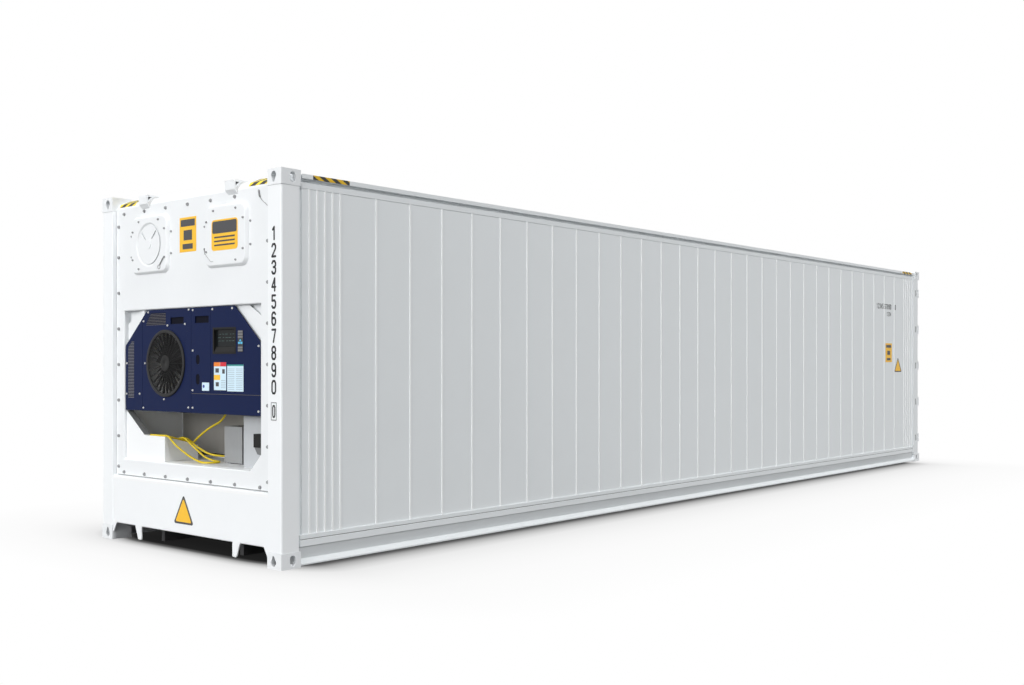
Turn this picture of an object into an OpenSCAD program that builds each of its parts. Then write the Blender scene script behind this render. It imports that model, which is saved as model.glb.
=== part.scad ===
// Refrigerated freight container with end-mounted cooling unit and rear doors.
// Millimetres, +Z up. Origin on the ground plane under the middle of the box.
// The cooling unit faces -X, the doors face +X.

/* [Container] */
// Overall length over the corner castings
length = 12192; // [9000:1:13716]
// Overall width over the corner castings
width = 2438; // [2400:1:2500]
// Overall height over the corner castings
height = 2896; // [2850:1:2950]

/* [Corner castings] */
// Length of a casting along the box
casting_length = 178; // [170:1:190]
// Width of a casting across the box
casting_width = 162; // [155:1:170]
// Height of a casting
casting_height = 118; // [112:1:124]
// Thickness of the three outer walls
casting_wall = 28; // [22:1:32]
// Thickness of the three inner walls
casting_inner_wall = 14; // [10:1:18]
// Length of the upper or lower aperture
aperture_length = 124.5; // [110:0.5:128]
// Width of the upper or lower aperture
aperture_width = 63.5; // [55:0.5:68]
// Height of the end and side apertures
side_aperture_height = 79; // [70:1:82]
// Width of the side aperture
side_aperture_width = 51; // [45:1:56]
// Distance of an aperture from the end face
aperture_from_end = 103.5; // [100:0.5:106]
// Distance of an aperture from the side face
aperture_from_side = 89.5; // [86:0.5:92]

/* [Frame] */
// Set-back of posts from the casting faces
post_set_back = 3; // [2:1:5]
// Groove behind the front posts
post_groove = 12; // [8:1:16]
// Outermost face of the rails, measured in from the castings
rail_set_back = 7; // [6:1:9]
// Underside of the side rails above the ground
rail_bottom = 13; // [12:1:18]
// Top of the lower side rails
rail_top = 235; // [225:1:245]
// Depth of the hollow in the lower side rail
rail_hollow = 46; // [38:1:48]
// Face of the front sill behind the castings
sill_set_back = 8; // [6:1:12]
// Underside of the front sill
sill_bottom = 145; // [140:1:150]
// Top of the front sill
sill_top = 547; // [520:1:570]
// Depth of the front sill
sill_depth = 150; // [120:1:165]
// Inner edge of a guide tab, from the middle
tab_inner = 622; // [600:1:640]
// Width of a guide tab at its root
tab_root = 93; // [80:1:100]
// Width of a guide tab at its tip
tab_tip = 50; // [40:1:60]
// Height of a guide tab tip above the ground
tab_bottom = 36; // [30:1:50]

/* [Walls and floor] */
// Thickness of a side wall
wall_thickness = 55; // [45:1:60]
// Outer skin of a side wall behind the castings
wall_set_back = 19; // [18:1:24]
// Width of the joint beside the corner posts
joint_width = 16; // [10:1:20]
// Depth of the joint beside the corner posts
joint_depth = 14; // [8:1:20]
// Depth of the panel seams
seam_depth = 6.5; // [3:0.5:8]
// Width of the panel seams
seam_width = 14; // [10:1:20]
// Number of wide bays on each side
wide_bays = 30; // [26:1:32]
// Number of narrow ribs at each end
narrow_ribs = 5; // [3:1:5]
// Spacing of the narrow ribs
narrow_pitch = 74.5; // [70:0.5:76]
// First narrow rib from the end
first_rib = 270; // [262:1:278]
// Underside of the floor panel
floor_bottom = 130; // [124:1:136]
// Thickness of the floor panel
floor_thickness = 60; // [50:1:65]
// Height of the floor bars
floor_bar_height = 50; // [40:1:55]
// Number of floor bars
floor_bars = 34; // [24:1:40]
// Thickness of the roof
roof_thickness = 88; // [80:1:88]
// Number of cross members
cross_count = 14; // [10:1:16]
// Last cross member in front of the rear frame
cross_end = 200; // [150:10:250]
// Length of the tunnel under the front end
tunnel_length = 3400; // [3200:10:3600]
// First outrigger of the tunnel from the front sill
tunnel_first = 420; // [380:10:450]
// Spacing of the tunnel outriggers
tunnel_pitch = 600; // [500:10:650]

/* [Doors] */
// Thickness of a door
door_thickness = 70; // [60:1:80]
// Outer face of a door inside the casting face
door_inset = 70; // [68:1:74]
// Gap between the two doors
door_gap = 20; // [18:1:26]
// Hinges on each door
hinge_count = 5; // [3:1:6]
// Height of a hinge blade
hinge_height = 90; // [70:1:110]
// Radius of a hinge pin
pin_radius = 10; // [8:0.5:11]
// Running clearance around a pin
pin_clearance = 0.3; // [0.2:0.1:0.5]
// Radius of a hinge eye
eye_radius = 15; // [14:0.5:15.5]
// Outer rod guides from the ends of a door
guide_end = 150; // [120:10:200]
// Inner rod guides from the ends of a door
guide_inner = 900; // [800:10:1000]
// Radius of a lock rod
rod_radius = 14; // [12:0.5:14]

/* [Unit front] */
// Unit front behind the casting faces
plate_depth = 36; // [30:1:40]
// Thickness of the unit front
plate_thickness = 60; // [50:1:65]
// Border beside the service bay
bay_border = 126; // [110:1:140]
// Floor of the service bay above the ground
bay_floor = 690; // [670:1:710]
// Height of the service bay
bay_height = 1238; // [1230:1:1250]
// Back of the service bay behind the casting faces
bay_depth = 600; // [590:1:640]
// Thickness of the bay lining
bay_wall = 20; // [15:1:25]
// Lower corner gussets of the bay
bay_corner = 127; // [100:1:135]
// Thickness of the insulated bulkhead
bulkhead_thickness = 80; // [60:1:100]
// Middle of the raised covers from the centre line
cover_offset = 521; // [510:1:530]
// Middle of the raised covers below the top
cover_drop = 436; // [425:1:445]
// Width of a raised cover
cover_width = 540; // [520:1:550]
// Height of a raised cover
cover_height = 480; // [460:1:490]
// Thickness of a raised cover
cover_thickness = 26; // [22:1:27]
// Corner radius of a raised cover
cover_radius = 70; // [50:1:90]
// Depth of the round recess for the fresh air disc
vent_recess = 12; // [11:1:14]
// Radius of the fresh air disc
vent_radius = 160; // [140:1:170]

/* [Blue casing] */
// Casing face behind the casting faces
casing_depth = 45; // [42:1:48]
// Thickness of the casing sheets
casing_sheet = 10; // [8:1:12]
// Gap between casing and bay at the sides
casing_gap = 10; // [6:1:14]
// Underside of the casing above the bay floor
casing_rise = 409; // [400:1:420]
// Width of the casing corner cuts
casing_cut_width = 325; // [300:1:340]
// Height of the casing corner cuts
casing_cut_height = 285; // [270:1:300]
// Width of the grille panel
grille_width = 254; // [245:1:262]
// Width of the fan panel
fan_panel_width = 699; // [690:1:705]
// Width of the middle panel
middle_width = 260; // [250:1:266]
// Height of the lower panel
lower_height = 153; // [145:1:160]
// Joint between casing sheets
casing_seam = 2; // [1:0.5:3]
// Fan axis from the left edge of the casing
fan_offset = 599; // [594:1:604]
// Fan axis above the underside of the casing
fan_rise = 390; // [385:1:395]
// Radius of the fan opening
fan_opening = 262; // [255:1:266]
// Radius of the fan wheel
fan_radius = 245; // [230:1:248]
// Number of fan blades
fan_blades = 7; // [5:1:9]

/* [Service bay] */
// Face of the compressor cover behind the casting faces
cover_face = 60; // [58:1:64]
// Width of the compressor cover
cover_block_width = 568; // [560:1:572]
// Height of the compressor cover
cover_block_height = 205; // [200:1:206]
// Depth of the compressor cover
cover_block_depth = 318; // [310:1:324]
// Height of the compressor cover at its back
cover_back_height = 122; // [118:1:126]
// Width of the transformer
transformer_width = 231; // [220:1:235]
// Height of the transformer
transformer_height = 298; // [280:1:310]
// Height of the base rail
base_height = 22; // [18:1:26]
// Depth of the base rail
base_depth = 10; // [6:1:12]
// Height of the receiver housing
housing_height = 395; // [380:1:400]
// Diameter of the supply cable
cable_diameter = 16; // [14:1:16]

/* [Hidden] */
$fn = 48;
x_front = -length / 2;
x_rear = length / 2;
half_w = width / 2;
eps = 1;

// Frame lines
post_in = half_w - casting_width;
post_out = half_w - post_set_back;
rail_out = half_w - rail_set_back;
wall_out = half_w - wall_set_back;
wall_in = wall_out - wall_thickness;
rail_start = x_front + casting_length;
rail_end = x_rear - casting_length;
upper_casting = height - casting_height;
upper_rail_bottom = upper_casting - 10;
upper_rail_top = upper_rail_bottom + 100;
roof_top = height - 30;
roof_bottom = roof_top - roof_thickness;
roof_half = wall_in - 15;
plate_top = height - 121;
floor_top = floor_bottom + floor_thickness;

// Rear frame lines
frame_front = x_rear - 230;
frame_rear = x_rear - door_inset - door_thickness - 16;
sill_rear = x_rear - 76;
jamb_in = wall_in;
door_face = x_rear - door_inset;
door_back = door_face - door_thickness;
door_bottom = casting_height + 32;
door_top = upper_casting - 12;
door_edge = half_w - 47;
pin_x = x_rear - 16;
pin_y = half_w - 16;
jamb_plate = 12;
jamb_rear = x_rear - 50;
hinge_low = 363;
hinge_high = height - 330;
hinge_z = [for (i = [0:hinge_count - 1]) hinge_low + i * (hinge_high - hinge_low) / (hinge_count - 1)];
rod_x = door_face + 20;
rod_low = casting_height - 33;
rod_high = upper_casting + 47;
rod_y = [door_edge - 302, 300];
guide_z = [door_bottom + guide_end, door_bottom + guide_inner, door_top - guide_inner, door_top - guide_end];
cam_half = 25;

// Unit lines
bay_half = post_in - bay_border;
bay_top = bay_floor + bay_height;
casing_half = bay_half - casing_gap;
casing_top = bay_top - 3;
casing_bottom = bay_floor + casing_rise;
casing_height = casing_top - casing_bottom;

// Shares of the standard casing and bay, all one in the standard container
standard_half = 921;
standard_height = 826;
standard_bay = 931;
across = casing_half / standard_half;
tall = casing_height / standard_height;
upper_tall = (casing_height - lower_height) / (standard_height - lower_height);
bay_share = bay_half / standard_bay;
fan_share = min(across, tall);

seam_1 = casing_half - grille_width * across;
seam_2 = seam_1 - fan_panel_width * across;
seam_3 = seam_2 - middle_width * across;
lower_top = casing_bottom + lower_height;
casing_back = casing_depth + casing_sheet;
frame_bar = 20;
cut_width = casing_cut_width * across;
cut_height = casing_cut_height * tall;
fan_y = casing_half - fan_offset * across;
fan_z = casing_bottom + fan_rise * tall;
fan_hole = fan_opening * fan_share;
tray_y = seam_3 - 323 * across;
tray_z = casing_top - 361 * upper_tall;
tray_width = 288 * across;
tray_height = 196 * upper_tall;
cover_z = height - cover_drop;
cover_front = plate_depth - cover_thickness;
casing_outline = [
    [-casing_half, casing_bottom], [casing_half, casing_bottom],
    [casing_half, casing_top - cut_height], [casing_half - cut_width, casing_top],
    [cut_width - casing_half, casing_top], [-casing_half, casing_top - cut_height]];
header_line = [[plate_depth, 15], [62, 57], [150, 97], [casting_length, 101]];

// Service bay lines
block_top = bay_floor + cover_block_height;
block_width = cover_block_width * bay_share;
block_edge = bay_half - block_width;
transformer_wide = transformer_width * bay_share;
transformer_y = -348 * bay_share;
transformer_face = 297;
base_left = bay_half - 10;
housing_left = -529 * bay_share;
housing_face = 180;
housing_back = 450;
coil_y = -720 * bay_share;
coil_radius = 205 * bay_share;
coil_inner = 135 * bay_share;
coil_face = 500;
coil_width = 85;
coil_z = bay_floor + coil_radius + 0.3;
plug_x = 485;
plug_radius = 34;
cable_radius = cable_diameter / 2;
control_bottom = lower_top - 27;

// Cable route: depth behind the front, distance from the middle, height over the bay floor
cable_points = [
    [250, -230, 500], [250, -228, 465], [250, -218, 430], [251, -198, 398], [252, -162, 362],
    [255, -104, 328], [256, -40, 305], [258, 27, 279], [265, 108, 245], [285, 225, 194],
    [306, 302, 162], [320, 344, 151], [326, 366, 148], [312, 376, 149], [280, 376, 157],
    [240, 376, 167.5], [200, 377, 178], [170, 378, 186], [137, 387, 195], [113, 411, 201], [104, 444, 203.5],
    [104, 510, 203.5], [104, 572, 203.5], [113, 605, 201], [137, 629, 195], [170, 638, 186],
    [203, 629, 177.5], [227, 605, 171], [236, 572, 169], [236, 510, 169], [236, 450, 172],
    [236, 410, 182], [236, 376, 187], [238, 344, 182], [240, 310, 165], [243, 262, 134],
    [248, 176, 88], [258, 108, 48], [278, 60, 25], [297, 20, 12],
    [304, -20, 8.5], [295, -52, 8.5], [271, -76, 8.5], [238, -85, 8.5], [205, -76, 8.5], [181, -52, 8.5],
    [172, -20, 8.5], [170, 30, 12], [158, 85, 29], [140, 138, 55], [118, 205, 96], [100, 262, 136],
    [91, 298, 166.5], [86, 324, 190.5], [82, 346, 205.5], [80, 372, 210.5], [80, 410, 209.5],
    [80, 480, 209], [80, 572, 209], [92, 617, 205.5], [125, 650, 197.5], [170, 662, 186],
    [215, 650, 174], [248, 617, 165], [260, 572, 162.5], [260, 510, 162.5], [260, 450, 165.5],
    [261, 410, 175.5], [262, 376, 180.5], [264, 344, 176], [268, 310, 160], [274, 262, 132],
    [286, 180, 94], [304, 110, 66], [334, 48, 52], [372, 0, 47], [412, -32, 45], [452, -58, 37],
    [482, -72, 22], [510, -84, 11], [540, -106, 8.5], [560, -138, 8.5], [568, -180, 8.5], [568, -260, 8.5],
    [567, -350, 8.5], [565, -440, 8.5], [562, -510, 9], [560, -580, 14], [560, -640, 27]];
tail_points = [[485, -500, 35], [487, -524, 41], [497, -542, 66], [510, -550, 104], [518, -552, 140]];
gland_x = cable_points[0][0];
gland_y = cable_points[0][1] * bay_share;
cable_sides = 10;

// Copies on both sides of the middle plane
module both_sides() {
    children();
    mirror([0, 1, 0]) children();
}

// Flat shape in the end view, given as width and height, put at a depth behind the front
module end_plate(depth, thickness) {
    translate([x_front + depth, 0, 0])
        rotate([90, 0, 90])
            linear_extrude(thickness)
                children();
}

// Long section, given as width and height, run from one x to another
module run_along(from, to) {
    translate([from, 0, 0])
        rotate([90, 0, 90])
            linear_extrude(to - from)
                children();
}

// Section given as x and height, run across the box
module run_across(half) {
    translate([0, half, 0])
        rotate([90, 0, 0])
            linear_extrude(2 * half)
                children();
}

// Slot with round ends, long way along x
module slot(long, wide) {
    square([long - wide, wide], center = true);
    for (s = [-1, 1]) {
        translate([s * (long - wide) / 2, 0]) circle(d = wide);
    }
}

// Rectangle with round corners
module round_plate(wide, high, radius) {
    square([wide - 2 * radius, high], center = true);
    square([wide, high - 2 * radius], center = true);
    for (sx = [-1, 1]) {
        for (sy = [-1, 1]) {
            translate([sx * (wide / 2 - radius), sy * (high / 2 - radius)]) circle(r = radius);
        }
    }
}

// End aperture of a casting, wide towards the middle of the box height
module shield(high, wide, tip) {
    top = (high - wide) / 2;
    low = (tip - high) / 2;
    translate([0, top]) circle(d = wide);
    translate([0, low]) circle(d = tip);
    polygon([[-wide / 2, top], [-tip / 2, low], [tip / 2, low], [wide / 2, top]]);
}

// One hollow casting, its outer corner at the origin
module casting() {
    cavity = [casting_length - casting_wall - casting_inner_wall,
        casting_width - casting_wall - casting_inner_wall,
        casting_height - casting_wall - casting_inner_wall];
    difference() {
        translate([-casting_length, -casting_width, 0])
            cube([casting_length, casting_width, casting_height]);
        translate([casting_inner_wall - casting_length, casting_inner_wall - casting_width, casting_wall])
            cube(cavity);
        translate([-aperture_from_end, -aperture_from_side, -eps])
            linear_extrude(casting_wall + 2 * eps) slot(aperture_length, aperture_width);
        translate([-casting_wall - eps, -aperture_from_side, casting_height / 2])
            rotate([90, 0, 90])
                linear_extrude(casting_wall + 2 * eps)
                    rotate(180) shield(side_aperture_height, aperture_width - 6, 26);
        translate([-aperture_from_end, eps, casting_height / 2])
            rotate([90, 0, 0])
                linear_extrude(casting_wall + 2 * eps)
                    rotate(90) slot(side_aperture_height, side_aperture_width);
    }
}

module corner_castings() {
    color("gainsboro")
        both_sides() {
            for (end = [0, 1]) {
                mirror([end, 0, 0]) translate([x_rear, half_w, 0]) casting();
                mirror([end, 0, 0]) translate([x_rear, half_w, height]) mirror([0, 0, 1]) casting();
            }
        }
}

module front_corner_posts() {
    back = casting_length;
    color("white")
        both_sides()
            translate([0, 0, casting_height])
                linear_extrude(upper_casting - casting_height)
                    polygon([
                        [x_front + post_set_back, post_in], [x_front + back, post_in],
                        [x_front + back, wall_out], [x_front + back - post_groove, wall_out],
                        [x_front + back - post_groove, post_out], [x_front + post_set_back + 8, post_out],
                        [x_front + post_set_back, post_out - 8]]);
}

module rear_corner_posts() {
    notch = 50;
    color("gainsboro")
        both_sides()
            difference() {
                translate([0, 0, casting_height])
                    linear_extrude(upper_casting - casting_height)
                        polygon([
                            [frame_front, jamb_in], [frame_rear, jamb_in],
                            [frame_rear, post_out - jamb_plate], [jamb_rear, post_out - jamb_plate],
                            [jamb_rear, post_out], [frame_front, post_out]]);
                for (z = hinge_z) {
                    translate([x_rear - 95, post_out - jamb_plate - eps, z - hinge_height / 2 - 5])
                        cube([notch, jamb_plate + 2 * eps, hinge_height + 10]);
                }
            }
}

module bottom_side_rails() {
    out = rail_out;
    web = out - rail_hollow;
    low = [[wall_in, rail_bottom], [out, rail_bottom], [out, rail_bottom + 12],
        [out - 14, rail_bottom + 20], [web + 14, rail_bottom + 38], [web + 4, rail_bottom + 52],
        [web, rail_bottom + 70]];
    color("gainsboro")
        both_sides()
            union() {
                run_along(rail_start, frame_front)
                    polygon(concat(low, [[web, rail_top - 86], [out, rail_top - 86],
                        [out, rail_top - 38], [out - 3, rail_top - 38], [out - 3, rail_top - 32],
                        [out, rail_top - 32], [out, rail_top], [wall_in, rail_top]]));
                run_along(frame_front - eps, rail_end)
                    polygon(concat(low, [[web, casting_height], [wall_in, casting_height]]));
            }
}

module top_side_rails() {
    out = rail_out + 2;
    low = upper_rail_bottom;
    high = upper_rail_top;
    color("gainsboro")
        both_sides()
            difference() {
                run_along(rail_start, rail_end)
                    polygon([
                        [roof_half, upper_casting], [wall_in, upper_casting], [wall_in, low],
                        [wall_out + 3, low], [wall_out + 3, low + 43],
                        [wall_out - 14, low + 46], [wall_out - 14, high - 29], [out, high - 27],
                        [out, high], [roof_half, high]]);
                for (x = [rail_start - 1, rail_end - joint_width]) {
                    translate([x, wall_out - joint_depth, low - 1])
                        cube([joint_width + 1, rail_out, high - low + 2]);
                }
                translate([frame_front, roof_half - 1, low - 1])
                    cube([rail_end - frame_front + 1, rail_out, upper_casting - low + 1]);
            }
}

module front_header() {
    color("white")
        run_across(post_in)
            polygon(concat(
                [[x_front + plate_depth, plate_top]],
                [for (p = header_line) [x_front + p[0], plate_top + p[1]]],
                [[x_front + casting_length, plate_top]]));
}

module front_sill() {
    color("white")
        union() {
            end_plate(sill_set_back, sill_depth)
                translate([-post_in, sill_bottom]) square([2 * post_in, sill_top - sill_bottom]);
            both_sides()
                end_plate(sill_set_back, 12) {
                    polygon([
                        [tab_inner, sill_bottom + eps], [tab_inner, tab_bottom],
                        [tab_inner + tab_tip, tab_bottom], [tab_inner + tab_root, sill_bottom + eps]]);
                    polygon([
                        [post_in - 52, sill_bottom + eps], [post_in, 60], [post_in, sill_bottom + eps]]);
                }
        }
}

module rear_header() {
    color("gainsboro")
        union() {
            run_across(post_in)
                polygon([
                    [rail_end, upper_casting], [sill_rear, upper_casting],
                    [sill_rear, roof_top], [rail_end, roof_top]]);
            run_across(jamb_in)
                polygon([
                    [frame_front, upper_casting - 28], [frame_rear, upper_casting - 28],
                    [frame_rear, upper_casting], [frame_front, upper_casting]]);
        }
}

module rear_sill() {
    color("gainsboro")
        union() {
            run_across(post_in)
                polygon([
                    [rail_end, rail_bottom], [sill_rear, rail_bottom],
                    [sill_rear, casting_height], [rail_end, casting_height]]);
            run_across(jamb_in)
                polygon([
                    [frame_front, casting_height], [frame_rear, casting_height],
                    [frame_rear, rail_top], [frame_front, rail_top]]);
        }
}

module side_walls() {
    from = rail_start;
    ribs_from = x_front + first_rib;
    bays_from = ribs_from + (narrow_ribs - 1) * narrow_pitch;
    bay = -2 * bays_from / wide_bays;
    ribs = concat(
        [for (i = [0:narrow_ribs - 1]) ribs_from + i * narrow_pitch],
        [for (i = [1:wide_bays - 1]) bays_from + i * bay],
        [for (i = [0:narrow_ribs - 1]) -ribs_from - i * narrow_pitch]);
    color("gainsboro")
        both_sides()
            translate([0, 0, rail_top])
                linear_extrude(upper_rail_bottom - rail_top)
                    difference() {
                        translate([from, wall_in]) square([frame_front - from, wall_thickness]);
                        for (x = ribs) {
                            if (x < frame_front - seam_width) {
                                translate([x, wall_out])
                                    polygon([
                                        [0, -seam_depth], [seam_width / 2, 0], [seam_width / 2, 1],
                                        [-seam_width / 2, 1], [-seam_width / 2, 0]]);
                            }
                        }
                        translate([from - 1, wall_out - joint_depth])
                            square([1 + joint_width + 6, joint_depth + 1]);
                    }
}

module roof_panel() {
    color("gainsboro")
        translate([rail_start, -roof_half, roof_bottom])
            cube([rail_end - rail_start, 2 * roof_half, roof_thickness]);
}

module floor_panel() {
    from = x_front + casting_length;
    color("gray")
        translate([from, -wall_in, floor_bottom])
            cube([frame_front - from, 2 * wall_in, floor_thickness]);
}

module floor_bars_deck() {
    from = x_front + bay_depth + bay_wall + bulkhead_thickness;
    half = wall_in - 6;
    pitch = 2 * half / floor_bars;
    base = 6;
    cap = 5;
    color("silver")
        run_along(from, frame_front)
            translate([0, floor_top]) {
                translate([-half, 0]) square([2 * half, base]);
                for (i = [0:floor_bars - 1]) {
                    translate([(i - (floor_bars - 1) / 2) * pitch - 2, base - eps])
                        square([4, floor_bar_height - base + eps]);
                    translate([(i - (floor_bars - 1) / 2) * pitch - 16, floor_bar_height - cap])
                        square([32, cap]);
                }
            }
}

module cross_members() {
    from = x_front + tunnel_length;
    step = (frame_front - cross_end - from) / (cross_count - 1);
    low = rail_bottom + 5;
    color("dimgray")
        for (i = [0:cross_count - 1]) {
            translate([from + i * step, -wall_in, 0]) {
                translate([0, 0, low]) cube([46, 2 * wall_in, 6]);
                translate([0, 0, low + 5]) cube([6, 2 * wall_in, floor_bottom - low - 10]);
                translate([0, 0, floor_bottom - 6]) cube([46, 2 * wall_in, 6]);
            }
        }
}

module tunnel_frame() {
    from = x_front + sill_set_back + sill_depth;
    low = rail_bottom + 5;
    inner = 515;
    color("dimgray")
        both_sides()
            union() {
                translate([from, inner, low])
                    cube([tunnel_length - sill_set_back - sill_depth - 20, 45, floor_bottom - low]);
                for (i = [0:4]) {
                    translate([from + tunnel_first + i * tunnel_pitch, inner + 44, low])
                        cube([46, wall_in - inner - 44, floor_bottom - low]);
                }
            }
}

module unit_bulkhead() {
    color("whitesmoke")
        translate([x_front + bay_depth + bay_wall, -wall_in, floor_top])
            cube([bulkhead_thickness, 2 * wall_in, roof_bottom - floor_top]);
}

module bay_lining() {
    from = x_front + plate_depth + plate_thickness;
    deep = bay_depth - plate_depth - plate_thickness;
    color("white")
        union() {
            difference() {
                translate([from, -bay_half - bay_wall, bay_floor - bay_wall])
                    cube([deep + bay_wall, 2 * (bay_half + bay_wall), bay_height + 2 * bay_wall]);
                translate([from - eps, -bay_half, bay_floor])
                    cube([deep + eps, 2 * bay_half, bay_height]);
            }
            translate([x_front + coil_face - 15, coil_y, coil_z + coil_inner - 18.3])
                rotate([0, 90, 0]) cylinder(r = 18, h = bay_depth - coil_face + 16);
        }
}

module unit_front() {
    color("white")
        end_plate(plate_depth, plate_thickness)
            difference() {
                translate([-post_in, sill_top]) square([2 * post_in, plate_top - sill_top]);
                polygon([
                    [bay_corner - bay_half, bay_floor], [bay_half, bay_floor],
                    [bay_half, bay_top], [-bay_half, bay_top], [-bay_half, bay_floor + bay_corner]]);
            }
}

module vent_cover() {
    color("white")
        union() {
            difference() {
                end_plate(cover_front, cover_thickness)
                    translate([cover_offset, cover_z]) round_plate(cover_width, cover_height, cover_radius);
                translate([x_front + cover_front - 1, cover_offset, cover_z])
                    rotate([0, 90, 0]) cylinder(r = vent_radius + 6, h = vent_recess + 1);
            }
            translate([x_front + cover_front + vent_recess - 9, cover_offset, cover_z])
                rotate([0, 90, 0]) cylinder(r = 8, h = 10);
        }
}

module access_cover() {
    color("white")
        end_plate(cover_front, cover_thickness)
            translate([-cover_offset, cover_z]) round_plate(cover_width, cover_height, cover_radius);
}

module vent_disc() {
    back = cover_front + vent_recess - 5;
    color("whitesmoke")
        translate([x_front, cover_offset, cover_z])
            rotate([0, 90, 0])
                difference() {
                    union() {
                        translate([0, 0, back - 4]) cylinder(r = vent_radius, h = 4);
                        translate([0, 0, back - 8]) cylinder(r = 36, h = 5);
                    }
                    translate([0, 0, back - 5]) cylinder(r = 8.3, h = 6);
                    for (a = [135, 225]) {
                        rotate(a)
                            translate([62, -6, back - 5]) cube([84, 12, 6]);
                    }
                }
}

module casing_frame() {
    bar = 30;
    band = [[bay_half, casing_top - cut_height - 40], [bay_half, casing_top - 0.38 * cut_height],
        [bay_half - 0.58 * cut_width, bay_top], [casing_half - cut_width - 36, bay_top]];
    closer = [[bay_half, bay_top - 0.6 * cut_height], [bay_half, bay_top],
        [bay_half - 0.8 * cut_width, bay_top]];
    color("white")
        union() {
            end_plate(casing_back, frame_bar) {
                translate([-bay_half, casing_bottom + 6]) square([2 * bay_half, bar]);
                for (y = [seam_1, seam_2, seam_3]) {
                    translate([y - bar / 2, casing_bottom + 6]) square([bar, bay_top - casing_bottom - 6]);
                }
            }
            end_plate(casing_back + frame_bar - eps, 6 + eps) {
                polygon(band);
                polygon([for (p = band) [-p[0], p[1]]]);
            }
            end_plate(plate_depth + plate_thickness + 24, 4) {
                polygon(closer);
                polygon([for (p = closer) [-p[0], p[1]]]);
            }
        }
}

// Part of the casing between two seams, as a flat shape
module casing_part(right, left, low, high) {
    intersection() {
        polygon(casing_outline);
        translate([right + casing_seam / 2, low + casing_seam / 2])
            square([left - right - casing_seam, high - low - casing_seam]);
    }
}

module grille_panel() {
    color("navy")
        end_plate(casing_depth, casing_sheet)
            casing_part(seam_1, casing_half + 2, casing_bottom - 2, casing_top + 2);
}

module fan_panel() {
    color("navy")
        end_plate(casing_depth, casing_sheet)
            difference() {
                casing_part(seam_2, seam_1, casing_bottom - 2, casing_top + 2);
                translate([fan_y, fan_z]) circle(r = fan_hole);
                translate([seam_2 + 104 * across, casing_top - 121 * tall]) square([185 * across, 53 * tall]);
            }
}

module middle_panel() {
    color("navy")
        end_plate(casing_depth, casing_sheet)
            difference() {
                casing_part(seam_3, seam_2, lower_top, casing_top + 2);
                translate([seam_3 + 25 * across, casing_top - 121 * upper_tall])
                    square([184 * across, 53 * upper_tall]);
                translate([seam_3 + 171 * across, casing_top - 407 * upper_tall]) rotate(90) slot(76, 49);
                translate([seam_3 + 171 * across, casing_top - 561 * upper_tall]) rotate(90) slot(84, 49);
            }
}

module control_panel() {
    color("navy")
        end_plate(casing_depth, casing_sheet)
            difference() {
                casing_part(-casing_half - 2, seam_3, lower_top, casing_top + 2);
                translate([tray_y, tray_z]) square([tray_width, tray_height]);
            }
}

module lower_panel() {
    color("navy")
        end_plate(casing_depth, casing_sheet)
            casing_part(-casing_half - 2, seam_2, casing_bottom - 2, lower_top);
}

module control_box() {
    color("lightgray")
        translate([x_front + casing_back + frame_bar, 14 - casing_half, control_bottom])
            cube([225, gland_y + 43 - 14 + casing_half, casing_top - cut_height - 60 - control_bottom]);
}

module display_tray() {
    color("black")
        difference() {
            union() {
                end_plate(casing_depth - 3, 3)
                    translate([tray_y - 4, tray_z - 4]) square([tray_width + 8, tray_height + 8]);
                end_plate(casing_depth, frame_bar + casing_sheet)
                    translate([tray_y + 0.5, tray_z + 0.5]) square([tray_width - 1, tray_height - 1]);
            }
            end_plate(casing_depth - 4, 22)
                translate([tray_y + 12, tray_z + 12]) square([tray_width - 24, tray_height - 24]);
        }
}

module keypad() {
    color("gray")
        end_plate(casing_depth - 4, 4)
            translate([seam_3 - 417 * across, casing_top - 351 * upper_tall])
                square([63 * across, 161 * upper_tall]);
}

module fan_shroud() {
    color("black")
        translate([x_front + casing_back, fan_y, fan_z])
            rotate([0, 90, 0])
                difference() {
                    cylinder(r = fan_hole + 6, h = 140);
                    translate([0, 0, -eps]) cylinder(r = fan_hole, h = 140 + 2 * eps);
                }
}

module fan_guard() {
    front = casing_depth - 12;
    color("dimgray")
        translate([x_front + front, fan_y, fan_z])
            rotate([0, 90, 0])
                union() {
                    difference() {
                        cylinder(r = fan_hole + 10, h = 12);
                        translate([0, 0, -eps]) cylinder(r = fan_hole - 18, h = 12 + 2 * eps);
                    }
                    cylinder(r = 66 * fan_share, h = 6);
                    for (r = [110, 155, 200]) {
                        difference() {
                            cylinder(r = r * fan_share + 3, h = 6);
                            translate([0, 0, -eps]) cylinder(r = r * fan_share - 3, h = 6 + 2 * eps);
                        }
                    }
                    for (a = [0:30:330]) {
                        rotate(a)
                            translate([60 * fan_share, -2.5, 1])
                                cube([fan_hole - 60 * fan_share - 12, 5, 4]);
                    }
                }
}

module fan_wheel() {
    reach = (fan_radius - 12) * fan_share;
    root = 55 * fan_share;
    color("black")
        translate([x_front + 95, fan_y, fan_z])
            rotate([0, 90, 0])
                difference() {
                    union() {
                        cylinder(r = 68 * fan_share, h = 60);
                        for (i = [0:fan_blades - 1]) {
                            rotate(i * 360 / fan_blades)
                                translate([root, 0, 32])
                                    rotate([32, 0, 0])
                                        translate([0, -45, -2]) cube([reach - root, 90, 4]);
                        }
                    }
                    translate([0, 0, 20]) cylinder(r = 12.3, h = 60);
                }
}

module fan_motor() {
    color("dimgray")
        translate([x_front, fan_y, fan_z])
            rotate([0, 90, 0])
                union() {
                    translate([0, 0, 121]) cylinder(r = 12, h = 90);
                    translate([0, 0, 200]) cylinder(r = 78, h = 260);
                    translate([0, 0, 440]) cylinder(r = 60, h = bay_depth - 440);
                }
}

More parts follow.
